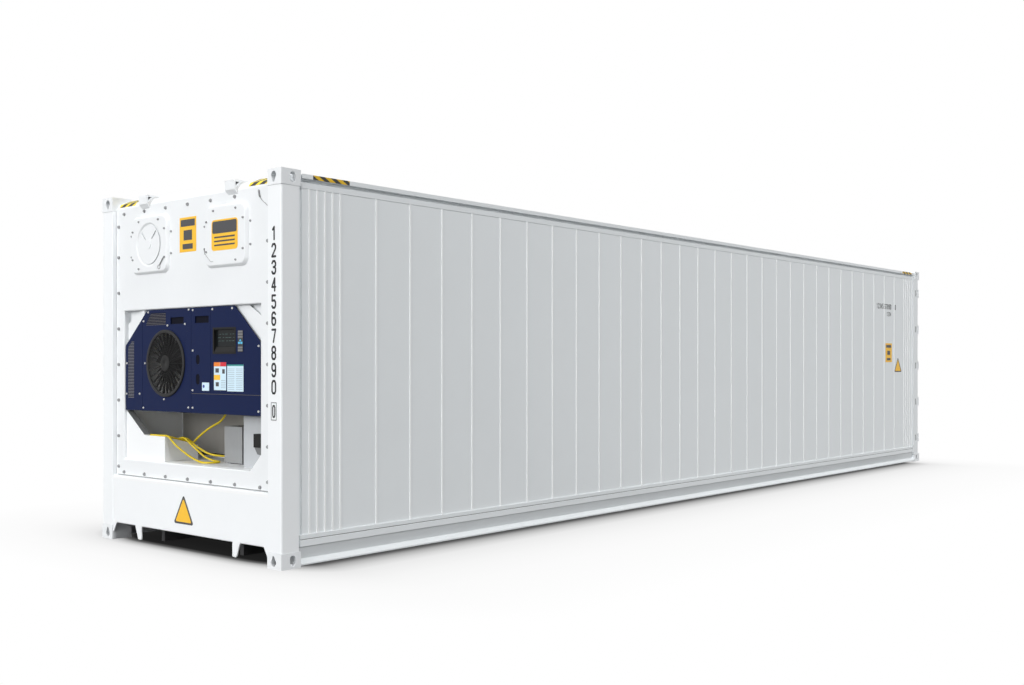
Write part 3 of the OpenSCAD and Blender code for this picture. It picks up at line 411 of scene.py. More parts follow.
# a lanyard hangs at the upper right corner, so the two bolts beside it are left out
spots = [(y, 0.576) for y in across] + [(y, 2.743) for y in across[1:]]
spots += [(1.012, z) for z in upward] + [(-1.021, z) for z in upward[:-1]]
growPiece("frontBolts", headTree, [(plateX, y, z) for y, z in spots], plateBolt)

coverBolt = {"Head Radius": 0.0078, "Head Height": 0.008, "Washer Radius": 0.0092, "Washer Height": 0.003,
             "Seed": 4, "Finish": mats["bolt"]}
coverX = xFront + 0.009
rim = [(u * y, v * z) for y, z in ((0.232, 0.115), (0.142, 0.194)) for u in (-1, 1) for v in (-1, 1)]
lanyardSpot = (-0.142, -0.194)
beside = [(y, z) for y in (-0.29, 0.29) for z in (-0.087, 0.087)]
spots = []
for s in (-1, 1):
    spots += [(coverX, s * cover["y"] + y, cover["z"] + z) for y, z in rim if (s * y, z) != lanyardSpot]
for s in (-1, 1):
    spots += [(plateX, s * cover["y"] + y, cover["z"] + z) for y, z in beside]
growPiece("coverBolts", headTree, spots, coverBolt)

casingScrew = {"Head Radius": 0.0065, "Head Height": 0.006, "Washer Radius": 0.0085, "Washer Height": 0.003,
               "Sides": 16, "Seed": 2, "Finish": mats["screw"]}
casingX = xFront + 0.0445
screws = ((0.576, 1.907), (0.646, 1.836), (0.295, 1.794), (0.05, 1.801), (0.624, 1.49), (-0.003, 1.913),
          (-0.058, 1.907), (-0.32, 1.906), (-0.573, 1.906), (-0.058, 1.589), (-0.899, 1.616), (0.705, 1.237),
          (0.345, 1.199), (0.649, 1.123), (0.002, 1.14), (-0.055, 1.14), (-0.055, 1.277), (-0.897, 1.132),
          (0.901, 1.49), (0.905, 1.235))
growPiece("casingScrews", headTree, [(casingX, y, z) for y, z in screws], casingScrew)
print("bolts and screws done")


# guard of concentric wires and radial spokes about the X axis
def guardTree():
    tree, given, result = newTree("wireGuard", {
        "First Ring": ("Float", 0.08), "Ring Step": ("Float", 0.012), "Wire": ("Float", 0.002),
        "Spoke From": ("Float", 0.06), "Spoke To": ("Float", 0.255), "Rings": ("Int", 12),
        "Spokes": ("Int", 16)})
    number = addNode(tree, "GeometryNodeInputIndex").outputs[0]
    profile = addNode(tree, "GeometryNodeCurvePrimitiveCircle", {"Resolution": 6, "Radius": given["Wire"]})
    size = addNode(tree, "ShaderNodeMath", {0: number, 1: given["Ring Step"], 2: given["First Ring"]},
                   operation="MULTIPLY_ADD")
    ring = addNode(tree, "GeometryNodeCurvePrimitiveCircle", {"Resolution": 72, "Radius": 1.0})
    ringSpots = addNode(tree, "GeometryNodeMeshLine", {"Count": given["Rings"], "Offset": (0, 0, 0)})
    rings = addNode(tree, "GeometryNodeInstanceOnPoints", {
        "Points": ringSpots.outputs["Mesh"], "Instance": ring.outputs["Curve"], "Scale": size.outputs[0]})
    step = addNode(tree, "ShaderNodeMath", {0: 2 * math.pi, 1: given["Spokes"]}, operation="DIVIDE")
    angle = addNode(tree, "ShaderNodeMath", {0: number, 1: step.outputs[0]}, operation="MULTIPLY")
    turn = addNode(tree, "ShaderNodeCombineXYZ", {"Z": angle.outputs[0]})
    near = addNode(tree, "ShaderNodeCombineXYZ", {"X": given["Spoke From"]})
    far = addNode(tree, "ShaderNodeCombineXYZ", {"X": given["Spoke To"]})
    spoke = addNode(tree, "GeometryNodeCurvePrimitiveLine", {"Start": near.outputs[0], "End": far.outputs[0]})
    spokeSpots = addNode(tree, "GeometryNodeMeshLine", {"Count": given["Spokes"], "Offset": (0, 0, 0)})
    spokes = addNode(tree, "GeometryNodeInstanceOnPoints", {
        "Points": spokeSpots.outputs["Mesh"], "Instance": spoke.outputs["Curve"],
        "Rotation": turn.outputs["Vector"]})
    lines = joinShapes(tree, (rings.outputs["Instances"], spokes.outputs["Instances"]))
    # made real before the tubes, so that the wire keeps its thickness on every ring
    real = addNode(tree, "GeometryNodeRealizeInstances", {"Geometry": lines})
    tube = addNode(tree, "GeometryNodeCurveToMesh", {
        "Curve": real.outputs["Geometry"], "Profile Curve": profile.outputs["Curve"], "Fill Caps": True})
    facing = addNode(tree, "GeometryNodeTransform", {
        "Geometry": tube.outputs["Mesh"], "Rotation": (0, math.pi / 2, 0)})
    return closeTree(tree, given, result, facing.outputs["Geometry"])


# turned piece about the fan axis from (radius, depth) pairs
def turned(name, profile, y, z, mat, steps=64):
    verts = []
    for i in range(steps):
        a = 2 * math.pi * i / steps
        verts += [(xFront + d, y + r * math.cos(a), z + r * math.sin(a)) for r, d in profile]
    faces = [[v % len(verts) for v in quad] for quad in ringFaces(steps + 1, len(profile))]
    return addPiece(name, verts, faces, mat, smooth=True, solid=True)


fan = {"y": 0.322, "z": 1.489, "wireDepth": 0.039, "slatDepth": 0.0595, "slatStretch": 12,
       "ring": ((0.246, 0.045), (0.246, 0.036), (0.250, 0.033), (0.268, 0.033), (0.272, 0.036),
                (0.272, 0.045)),
       "hub": ((0.002, 0.034), (0.06, 0.034), (0.066, 0.037), (0.066, 0.042), (0.002, 0.042))}
wires = guardTree()
guard = growPiece("guardWires", wires, [(0, 0, 0)], {
    "First Ring": 0.082, "Ring Step": 0.0135, "Rings": 13, "Wire": 0.0018, "Spoke From": 0.06,
    "Spoke To": 0.252, "Spokes": 24, "Finish": mats["guard"]})
guard.data.transform(Matrix.Translation((xFront + fan["wireDepth"], fan["y"], fan["z"])))
slats = growPiece("guardSlats", wires, [(0, 0, 0)], {
    "Rings": 0, "Wire": 0.001, "Spoke From": 0.064, "Spoke To": 0.25, "Spokes": 28, "Finish": mats["hub"]})
slatPlace = Matrix.Translation((xFront + fan["slatDepth"], fan["y"], fan["z"]))
slats.data.transform(slatPlace @ Matrix.Diagonal((fan["slatStretch"], 1, 1, 1)))
for o in (guard, slats):
    for p in o.data.polygons:
        p.use_smooth = True
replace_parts(turned("guardRing", fan["ring"], fan["y"], fan["z"], mats["guard"]), "fan_guard")
turned("guardHub", fan["hub"], fan["y"], fan["z"], mats["hub"])
print("fan guard done")


# small blocks on a list of points, used for perforations, louvres, beads and lips
def blockTree():
    tree, given, result = newTree("slitsOnPoints", {"Size": ("Vector", (0.001, 0.008, 0.004))})
    block = addNode(tree, "GeometryNodeMeshCube", {"Size": given["Size"]})
    put = addNode(tree, "GeometryNodeInstanceOnPoints", {
        "Points": given["Geometry"], "Instance": block.outputs["Mesh"]})
    return closeTree(tree, given, result, put.outputs["Instances"])


def growBlocks(name, points, size, mat):
    return growPiece(name, blocks, points, {"Size": size, "Finish": mat})


def gridPoints(y0, y1, z0, z1, stepY, stepZ, depth, inside):
    out = []
    for i in range(int((y1 - y0) / stepY)):
        for j in range(int((z1 - z0) / stepZ)):
            y, z = y0 + (i + 0.5) * stepY, z0 + (j + 0.5) * stepZ
            if inside(y, z):
                out.append((xFront + depth, y, z))
    return out


# both perforated patches stop short of the slanted corner of the casing
slant = {"y": 0.921, "z": 1.64, "rise": 0.285, "run": 0.325, "margin": 0.05}
patch = {"side": (0.793, 0.894, 1.199, 1.685), "top": (0.323, 0.617, 1.797, 1.9), "lean": 0.8}


def underSlant(y, z):
    return z < slant["z"] + (slant["y"] - y) * slant["rise"] / slant["run"] - slant["margin"]


def besideSlant(y, z):
    return y < patch["top"][1] - (z - patch["top"][2]) * patch["lean"]


blocks = blockTree()
casingFace = 0.0449
sidePatch = gridPoints(*patch["side"], 0.0101, 0.0125, casingFace, underSlant)
topPatch = gridPoints(*patch["top"], 0.0105, 0.0125, casingFace, besideSlant)
sideHoles = [(x, y, z + 0.0055) for x, y, z in sidePatch]
topHoles = [(x, y, z + 0.006) for x, y, z in topPatch]
growBlocks("sideLouvres", sidePatch, (0.0012, 0.0101, 0.005), mats["louvre"])
# near-black blocks paint the shade seen through the perforation holes
growBlocks("sidePerforation", sideHoles, (0.001, 0.0075, 0.005), mats["slotShade"])
growBlocks("topLouvres", topPatch, (0.0012, 0.0085, 0.0045), mats["louvreTop"])
growBlocks("topPerforation", topHoles, (0.001, 0.0078, 0.0055), mats["slotShade"])

# raised beads over the wall seams, paler than the wall as a painted highlight: five narrow bays at each end
# and thirty wide ones between
wall = {"firstSeam": xRear - 0.27, "narrow": 0.0745, "narrowCount": 5, "wideFrom": -5.528, "wideCount": 30,
        "y": 1.2, "middle": 1.5015, "bead": (0.013, 0.012, 2.531)}
wide = -2 * wall["wideFrom"] / wall["wideCount"]
seams = [s * (wall["firstSeam"] - wall["narrow"] * i) for s in (-1, 1) for i in range(wall["narrowCount"])]
seams += [wall["wideFrom"] + wide * i for i in range(1, wall["wideCount"])]
seamSpots = [(x, s * wall["y"], wall["middle"]) for x in seams for s in (-1, 1)]
growBlocks("seamBeads", seamSpots, wall["bead"], mats["sealHighlight"])

# lip of the upper rails, painted shade in the groove of the lower rails, painted shadows beside the five door
# hinges
rails = {
    "railLips": {"middle": (0, 1.2139, 2.856), "size": (11.802, 0.002, 0.033), "look": "grey"},
    "railGrooveShade": {"middle": (-0.026, 1.2092, 0.2), "size": (11.78, 0.0008, 0.0058), "look": "shade"},
}
for name, rail in rails.items():
    x, y, z = rail["middle"]
    growBlocks(name, [(x, s * y, z) for s in (-1, 1)], rail["size"], mats[rail["look"]])
# dark strips paint the shadow of each hinge on the rear post
hinge = {"x": 5.957, "y": 1.2155, "lowest": 0.363, "step": 0.55075, "count": 5, "mark": (0.022, 0.003, 0.09)}
hingeSpots = [(hinge["x"], s * hinge["y"], hinge["lowest"] + hinge["step"] * i)
              for s in (-1, 1) for i in range(hinge["count"])]
growBlocks("hingeShadowMarks", hingeSpots, hinge["mark"], mats["shade"])

# leaning web in the hollow of each lower side rail
railWeb = {"from": xFront + 0.178, "to": xRear - 0.178, "section": ((1.206, 0.1488), (1.1757, 0.058))}
for letter, s in bothSides.items():
    verts = [(x, s * y, z) for x in (railWeb["from"], railWeb["to"]) for y, z in railWeb["section"]]
    addPiece("railWeb" + letter, verts, [[0, 2, 3, 1]], mats["grey"])
print("walls done")


# corners of a triangle rounded off
def roundedTriangle(points, r):
    out = []
    n = len(points)
    for i in range(n):
        a, b, q = Vector(points[i - 1]), Vector(points[i]), Vector(points[(i + 1) % n])
        u, v = (a - b).normalized(), (q - b).normalized()
        half = u.angle(v) / 2
        centre = b + (u + v).normalized() * r / math.sin(half)
        first, last = b + u * r / math.tan(half), b + v * r / math.tan(half)
        for k in range(6):
            w = (first - centre).lerp(last - centre, k / 5).normalized()
            out.append(tuple(centre + w * r))
    return out


# outline drawn smaller about a point
def shrunk(points, share, u0, v0):
    return [(u0 + (u - u0) * share, v0 + (v - v0) * share) for u, v in points]


# plates on the unit front and on the right cover, with plain bars
plateFace, coverFace, plateThick, inkThick = 0.0358, 0.0098, 0.0012, 0.0006
heightBars = [rect(-0.098, 0.095, 2.57, 2.624), rect(-0.06, 0.055, 2.46, 2.54),
              rect(-0.07, 0.068, 2.39, 2.432)]
endSheet("heightPlate", [rect(-0.116, 0.111, 2.368, 2.642)], plateFace, plateThick, mats["plate"])
endSheet("heightPlateBars", heightBars, plateFace - plateThick, inkThick, mats["ink"])
y0, y1, z0, z1 = -0.689, -0.357, 2.347, 2.582
coverHead = roundRect(y0 + 0.012, y1 - 0.012, z1 - 0.105, z1 - 0.012, 0.015)
coverBars = [rect(y0 + 0.035, y1 - 0.035, z0 + z, z0 + z + 0.012) for z in (0.035, 0.065, 0.095)]
endSheet("coverPlate", [roundRect(y0, y1, z0, z1, 0.03)], coverFace, plateThick, mats["plate"])
endSheet("coverPlateHead", [coverHead], coverFace - plateThick, inkThick, mats["ink"])
endSheet("coverPlateBars", coverBars, coverFace - plateThick, inkThick, mats["ink"])

# sill: painted shade line above it, painted highlight along its upper edge, warning triangle
sillFace = 0.008
endSheet("sillSeamShade", [rect(-1.056, 1.03, 0.5495, 0.5545)], plateFace, inkThick, mats["shade"])
endSheet("sillEdgeHighlight", [rect(-1.056, 1.056, 0.513, 0.537)], sillFace, 0.001, mats["sealHighlight"])
triangle = ((0.152, 0.222), (-0.122, 0.222), (0.015, 0.456))
inner = shrunk(triangle, 0.8, 0.015, 0.30)
endSheet("sillTriangleEdge", [roundedTriangle(triangle, 0.014)], sillFace - 0.0002, 0.001, mats["ink"])
endSheet("sillTriangle", [roundedTriangle(inner, 0.010)], sillFace - 0.0012, inkThick, mats["plate"])

# labels of the blue casing
labels = [rect(-0.495, -0.338, 1.283, 1.497), rect(-0.712, -0.509, 1.276, 1.479),
          rect(-0.274, -0.181, 1.276, 1.34)]
labelThick, printThick = 0.001, 0.0005
labelFace = casingFace - labelThick
endSheet("casingLabels", labels, casingFace, labelThick, mats["label"])
endSheet("labelOrange", [rect(-0.416, -0.338, 1.465, 1.497)], labelFace, printThick, mats["orange"])
endSheet("labelRed", [rect(-0.495, -0.419, 1.465, 1.497)], labelFace, printThick, mats["red"])
endSheet("labelYellow", [rect(-0.418, -0.34, 1.361, 1.4)], labelFace, printThick, mats["plate"])
endSheet("labelTeal", [rect(-0.712, -0.509, 1.468, 1.479)], labelFace, printThick, mats["teal"])
rules = [rect(-0.485, -0.43, 1.30 + 0.014 * i, 1.304 + 0.014 * i) for i in range(5)]
rules += [rect(-0.70 + 0.1 * k, -0.62 + 0.1 * k, 1.29 + 0.014 * i, 1.2935 + 0.014 * i)
          for k in (0, 1) for i in range(12)]
endSheet("labelRules", rules, labelFace, 0.0004, mats["labelLine"])

# keypad: grey keys in a column, blue arrow keys between
keyFace, keyThick = 0.041, 0.0015
keys = [rect(-0.706, -0.649, z, z + 0.014) for z in (1.68, 1.70, 1.72, 1.58, 1.60)]
arrows = [rect(-0.675, -0.652, 1.634, 1.65), rect(-0.704, -0.681, 1.634, 1.65),
          [(-0.69, 1.655), (-0.665, 1.655), (-0.678, 1.672)]]
endSheet("keys", keys, keyFace, keyThick, mats["keyGrey"])
endSheet("arrowKeys", arrows, keyFace, keyThick, mats["keyBlue"])
labelMarks = [rect(-0.402, -0.358, 1.418, 1.45), rect(-0.478, -0.446, 1.41, 1.444),
              rect(-0.402, -0.362, 1.312, 1.344)]
endSheet("labelMarks", labelMarks, labelFace, printThick, mats["ink"])
dotTurns = [math.pi * k / 8 for k in range(16)]
labelDot = [(-0.203 + 0.013 * math.cos(a), 1.310 + 0.013 * math.sin(a)) for a in dotTurns]
endSheet("labelDot", [labelDot], labelFace, printThick, mats["dot"])

# casing: seam over the lower sheet, dark sheets behind and in the slots as painted shade, corner sheets
# behind it
slotBacks = [rect(0.06, 0.27, 1.79, 1.87), rect(-0.28, -0.07, 1.79, 1.87)]
slotFills = [roundRect(-0.145, -0.097, z - h, z + h, 0.0235) for z, h in ((1.518, 0.0375), (1.364, 0.0415))]
corners = [[(s * 0.9305, 1.80), (s * 0.9305, 1.9275), (s * 0.70, 1.9275)] for s in (-1, 1)]
endSheet("casingSeamLine", [rect(-0.918, -0.04, 1.2500, 1.2532)], 0.0451, 0.0008, mats["seamLine"])
endSheet("slotShadeBacking", slotBacks, 0.0575, 0.001, mats["slotShade"])
endSheet("slotShadeFilling", slotFills, 0.0485, 0.001, mats["slotShade"])
endSheet("cornerSheets", corners, 0.102, 0.002, mats["white"])

# display: glass, rows of dashes of mixed length, sloping shelf under it
screen = {"outline": rect(-0.598, -0.344, 1.618, 1.744), "depth": 0.0628, "thick": 0.001,
          "dashes": (0.03, 0.018, 0.036), "shelf": ((0.044, 1.5775), (0.0622, 1.614))}
dashes = []
for i in range(5):
    for k in range(3):
        y, z = -0.582 + 0.045 * i, 1.71 - 0.026 * k
        dashes.append(rect(y, y + screen["dashes"][(i + k) % 3], z, z + 0.0035))
endSheet("screenGlass", [screen["outline"]], screen["depth"], screen["thick"], mats["glass"])
endSheet("screenDashes", dashes, screen["depth"] - screen["thick"], 0.0003, mats["screenInk"])
shelf = [(xFront + d, y, z) for d, z in screen["shelf"] for y in (-0.601, -0.341)]
addPiece("screenShelf", shelf, [[0, 1, 3, 2]], mats["hub"])
print("labels done")

# lower bay: dark sheet on the back wall as painted shade, painted shade on the top edge of the cheek, hood of
# the socket
endSheet("bayBackShadeSheet", [rect(-0.9205, 0.9205, 0.7275, 1.25)], 0.5995, 0.0015, mats["bayBack"])
lift = Vector((0, -0.594, 0.804)) * 0.0006
cheekTop = ((0.665, 0.8987), (0.9305, 1.0947))
verts = [Vector((xFront + d, y, z)) + lift for y, z in cheekTop for d in (0.0605, 0.1195)]
addPiece("cheekEdgeShade", verts, [[0, 1, 3, 2]], mats["shade"])
hood = [(-0.722, 0.8545), (-0.87, 0.8545), (-0.87, 0.79), (-0.759, 0.804)]
endSheet("socketHood", [hood], 0.172, 0.036, mats["hood"])

# hazard stripes on the header, following its bend in (depth, height), and on the upper side rails, where a
# darker yellow paints the shade of the long sides
headerStripe = {"y": (1.018, 0.775), "bend": ((0.0445, 2.8040), (0.0614, 2.8321), (0.147, 2.8706))}
railStripe = {"y": 1.2153, "from": (xFront + 0.295, xRear - 0.652), "long": 0.355, "z": (2.8395, 2.8725)}
for letter, s in bothSides.items():
    verts = [(xFront + d - 0.0012, s * y, z + 0.0008)
             for d, z in headerStripe["bend"] for y in headerStripe["y"]]
    addPiece("headerStripe" + letter, verts, [[0, 1, 3, 2], [2, 3, 5, 4]], stripeY)
    for i, x in enumerate(railStripe["from"]):
        outline = rect(x, x + railStripe["long"], *railStripe["z"])
        verts = [(u, s * railStripe["y"], v) for u, v in outline]
        addPiece("railStripe%s%d" % (letter, i), verts, [[0, 1, 2, 3]], stripeX)

# side webs that close the gap between the generator brackets and the header, in (depth, height), grey as
# painted shade on the white brackets' sides
web = ((0.010, 2.803), (0.080, 2.860), (0.1236, 2.860), (0.062, 2.832), (0.036, 2.790), (0.036, 2.769))
verts, faces = [], []
for y in (0.5345, 0.6555, -0.5345, -0.6555):
    faces.append(list(range(len(verts), len(verts) + len(web))))
    verts += [(xFront + d, y, z) for d, z in web]
addPiece("bracketShadeWebs", verts, faces, mats["shroud"])
print("bay and stripes done")

# supply cable in millimetres: depth behind the front, distance from the middle, height over the bay floor
route = ((250, -230, 500), (250, -228, 465), (250, -218, 430), (251, -198, 398), (252, -162, 362),
         (255, -104, 328), (256, -40, 305), (258, 27, 279), (265, 108, 245), (285, 225, 194),
         (306, 302, 162), (320, 344, 151), (326, 366, 148), (312, 376, 149), (280, 376, 157),
         (240, 376, 167.5), (200, 377, 178), (170, 378, 186), (137, 387, 195), (113, 411, 201),
         (104, 444, 203.5), (104, 510, 203.5), (104, 572, 203.5), (113, 605, 201), (137, 629, 195),
         (170, 638, 186), (203, 629, 177.5), (227, 605, 171), (236, 572, 169), (236, 510, 169),
         (236, 450, 172), (236, 410, 182), (236, 376, 187), (238, 344, 182), (240, 310, 165),
         (243, 262, 134), (248, 176, 88), (258, 108, 48), (278, 60, 25), (297, 20, 12),
         (304, -20, 8.5), (295, -52, 8.5), (271, -76, 8.5), (238, -85, 8.5), (205, -76, 8.5),
         (181, -52, 8.5), (172, -20, 8.5), (170, 30, 12), (158, 85, 29), (140, 138, 55),
         (118, 205, 96), (100, 262, 136), (91, 298, 166.5), (86, 324, 190.5), (82, 346, 205.5),
         (80, 372, 210.5), (80, 410, 209.5), (80, 480, 209), (80, 572, 209), (92, 617, 205.5),
         (125, 650, 197.5), (170, 662, 186), (215, 650, 174), (248, 617, 165), (260, 572, 162.5),
         (260, 510, 162.5), (260, 450, 165.5), (261, 410, 175.5), (262, 376, 180.5), (264, 344, 176),
         (268, 310, 160), (274, 262, 132), (286, 180, 94), (304, 110, 66), (334, 48, 52),
         (372, 0, 47), (412, -32, 45), (452, -58, 37), (482, -72, 22), (510, -84, 11),
         (540, -106, 8.5), (560, -138, 8.5), (568, -180, 8.5), (568, -260, 8.5), (567, -350, 8.5),
         (566, -440, 8.5), (568, -510, 9), (572, -580, 14))
tail = ((519, -552, 195), (516, -560, 150), (510, -564, 112), (502, -560, 80), (494, -546, 56),
        (488, -524, 40), (485, -500, 35))
coil = {"y": -720, "z": 205.3, "radii": (196, 178, 160), "depths": (574, 556, 538, 520), "turns": 11,
        "startAngle": -65.8, "lastArc": 284.2, "perTurn": 24}


# stowed turns, three to a layer, going in and out by turns
def coilPoints():
    out = []
    for k in range(int((coil["turns"] + coil["lastArc"] / 360) * coil["perTurn"]) + 1):
        turn = k / coil["perTurn"]
        layer = min(int(turn / 3), 3)
        inLayer = turn - 3 * layer
        order = coil["radii"] if layer % 2 == 0 else coil["radii"][::-1]
        i = min(int(inLayer), 2)
        frac = max(0.0, (inLayer - i - 0.8) / 0.2)  # step to the next radius in the last fifth of a turn
        r = order[i] + (order[min(i + 1, 2)] - order[i]) * frac
        d = coil["depths"][layer]
        if i == 2 and layer < 3:
            d += (coil["depths"][layer + 1] - d) * frac
        a = math.radians(coil["startAngle"] - 360 * turn)
        out.append((d, coil["y"] + r * math.cos(a), coil["z"] + r * math.sin(a)))
    return out


# smooth curve through all points
def smoothPath(points, steps=4):
    out = []
    for i in range(len(points) - 1):
        p0, p1, p2, p3 = points[max(i - 1, 0)], points[i], points[i + 1], points[min(i + 2, len(points) - 1)]
        for k in range(steps):
            t = k / steps
            bend = (2 * p0 - 5 * p1 + 4 * p2 - p3) * t * t + (3 * p1 - p0 - 3 * p2 + p3) * t ** 3
            out.append(0.5 * (2 * p1 + (p2 - p0) * t + bend))
    return out + [points[-1]]


path = smoothPath([Vector(p) for p in (*route, *coilPoints(), *tail)])
line = [Vector((xFront + p.x / 1000, p.y / 1000, bayFloor + p.z / 1000)) for p in path]
curve = bpy.data.curves.new("supplyCable", "CURVE")
curve.dimensions = "3D"
curve.bevel_depth = 0.008
curve.bevel_resolution = 3
curve.use_fill_caps = True
spline = curve.splines.new("POLY")
spline.points.add(len(line) - 1)
for p, v in zip(spline.points, line):
    p.co = (*v, 1)
    p.radius = 1.0
cable = bpy.data.objects.new("supplyCable", curve)
bpy.context.scene.collection.objects.link(cable)
curve.materials.append(mats["cable"])
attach(cable, root)
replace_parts(cable, "supply_cable", "cable_coil")

# marks, plain counting figures only, drawn as round strokes in a unit box
figures = {
    "0": [[(0, .18), (0, .82), (.25, 1), (.75, 1), (1, .82), (1, .18), (.75, 0), (.25, 0), (0, .18)]],
    "1": [[(.2, .8), (.6, 1), (.6, 0)]],
    "2": [[(0, .82), (.24, 1), (.76, 1), (1, .82), (1, .64), (0, 0), (1, 0)]],
    "3": [[(0, .84), (.24, 1), (.76, 1), (1, .84), (1, .67), (.74, .52), (.4, .52)],
          [(.74, .52), (1, .37), (1, .16), (.76, 0), (.24, 0), (0, .16)]],
    "4": [[(.76, 0), (.76, 1), (0, .3), (1, .3)]],
    "5": [[(.95, 1), (.06, 1), (.03, .57), (.7, .6), (1, .44), (1, .16), (.76, 0), (.24, 0), (0, .14)]],
    "6": [[(.96, .86), (.74, 1), (.26, 1), (0, .82), (0, .18), (.26, 0), (.74, 0), (1, .18), (1, .4),
           (.74, .56), (.26, .56), (0, .42)]],
    "7": [[(0, 1), (1, 1), (.4, 0)]],
    "8": [[(.26, .53), (.02, .68), (.02, .85), (.26, 1), (.74, 1), (.98, .85), (.98, .68), (.74, .53),
           (.26, .53), (0, .38), (0, .16), (.26, 0), (.74, 0), (1, .16), (1, .38), (.74, .53)]],
    "9": [[(.04, .14), (.26, 0), (.74, 0), (1, .18), (1, .82), (.74, 1), (.26, 1), (0, .82), (0, .6),
           (.26, .44), (.74, .44), (1, .58)]],
}


# place turns a flat (right, up) point into a point on the container
def addFigures(name, spots, wide, high, stroke, place):
    verts, faces = [], []
    r = stroke / 2
    dots = [Vector((r * math.cos(math.pi * k / 6), r * math.sin(math.pi * k / 6))) for k in range(12)]
    for figure, u0, v0 in spots:
        for bends in figures[figure]:
            points = [Vector((u0 + r + u * (wide - stroke), v0 + r + v * (high - stroke))) for u, v in bends]
            for p, q in zip(points, points[1:]):
                n = Vector((p.y - q.y, q.x - p.x)).normalized() * r
                faces.append(list(range(len(verts), len(verts) + 4)))
                verts += [place(*w) for w in (p - n, q - n, q + n, p + n)]
            for p in points:
                faces.append(list(range(len(verts), len(verts) + len(dots))))
                verts += [place(*(p + w)) for w in dots]
    return addPiece(name, verts, faces, mats["digit"])


postX = xFront + 0.0022
sideY = -1.2006


def onPost(u, v):
    return postX, -1.102 - u, v


def onSide(u, v):
    return xFront + u, sideY, v


# a column on the right post with one boxed figure under it
column = [(figure, 0, 2.375 - 0.1235 * i) for i, figure in enumerate("1234567890")]
addFigures("postMarks", column, 0.056, 0.105, 0.016, onPost)
addFigures("postMarkBoxed", [("0", 0.009, 1.094)], 0.038, 0.094, 0.013, onPost)
box = rect(-1.162, -1.098, 1.076, 1.206)
verts = [(postX, y, z) for y, z in box]
verts += [(postX, -1.13 + (y + 1.13) * 0.84, 1.141 + (z - 1.141) * 0.92) for y, z in box]
addPiece("postMarkFrame", verts, [[i, (i + 1) % 4, 4 + (i + 1) % 4, 4 + i] for i in range(4)], mats["digit"])

# two rows on the long side, the upper one split round a wall seam
row = [(figure, 10.615 + 0.052 * i + (0.025 if i > 4 else 0), 2.285) for i, figure in enumerate("1234567890")]
rowLow = [(figure, 10.98 + 0.043 * i, 2.185) for i, figure in enumerate("1234")]
addFigures("sideMarks", row + [("0", 11.28, 2.285)], 0.038, 0.076, 0.012, onSide)
addFigures("sideMarksLow", rowLow, 0.031, 0.062, 0.010, onSide)


# flat outlines on the long side, (distance from the front, height)
def sideSheet(name, outlines, lift, mat):
    verts, faces = [], []
    for outline in outlines:
        faces.append(list(range(len(verts), len(verts) + len(outline))))
        verts += [(xFront + x, sideY - lift, z) for x, z in outline]
    return addPiece(name, verts, faces, mat)


inkLift = 0.0004
sideBars = [rect(10.96, 11.145, 1.725, 1.765), rect(11.0, 11.105, 1.62, 1.68),
            rect(10.985, 11.12, 1.54, 1.575)]
sideTriangle = ((11.26, 1.37), (11.54, 1.37), (11.40, 1.585))
inner = shrunk(sideTriangle, 0.78, 11.4, 1.437)
sideSheet("sidePlate", [rect(10.935, 11.170, 1.515, 1.790)], 0, mats["plate"])
sideSheet("sidePlateBars", sideBars, inkLift, mats["ink"])
sideSheet("sideTriangleEdge", [roundedTriangle(sideTriangle, 0.012)], 0, mats["ink"])
sideSheet("sideTriangle", [roundedTriangle(inner, 0.008)], inkLift, mats["plate"])
print("marks done")


# floor and backdrop are white to the camera and to what mirrors it, and plain to other rays
def seenRays(tree):
    rays = addNode(tree, "ShaderNodeLightPath").outputs
    mirrored = addNode(tree, "ShaderNodeMath", {0: rays["Is Glossy Ray"], 1: rays["Is Transmission Ray"]},
                       operation="MAXIMUM")
    either = addNode(tree, "ShaderNodeMath", {0: rays["Is Camera Ray"], 1: mirrored.outputs[0]},
                     operation="MAXIMUM")
    return either.outputs[0]


# painted shadow on the floor: its tone by distance from a box under the object, dark there, a soft edge,
# white further out, squeezed across so that the painted shadow reaches further out along the sides
shadow = {"middle": (-0.115, 0.057, 0), "half": (5.615, 0.653, 0), "squeeze": (1, 0.45, 0), "reach": 2.0,
          "stops": ((0.0, 0.012), (0.11, 0.016), (0.14, 0.12), (0.165, 0.45), (0.195, 0.68), (0.225, 0.83),
                    (0.265, 0.88), (0.31, 0.92), (0.35, 0.94), (0.425, 0.965), (0.7, 1.0))}


def vectorStep(tree, operation, first, second=None):
    inputs = {0: first} if second is None else {0: first, 1: second}
    return addNode(tree, "ShaderNodeVectorMath", inputs, operation=operation).outputs


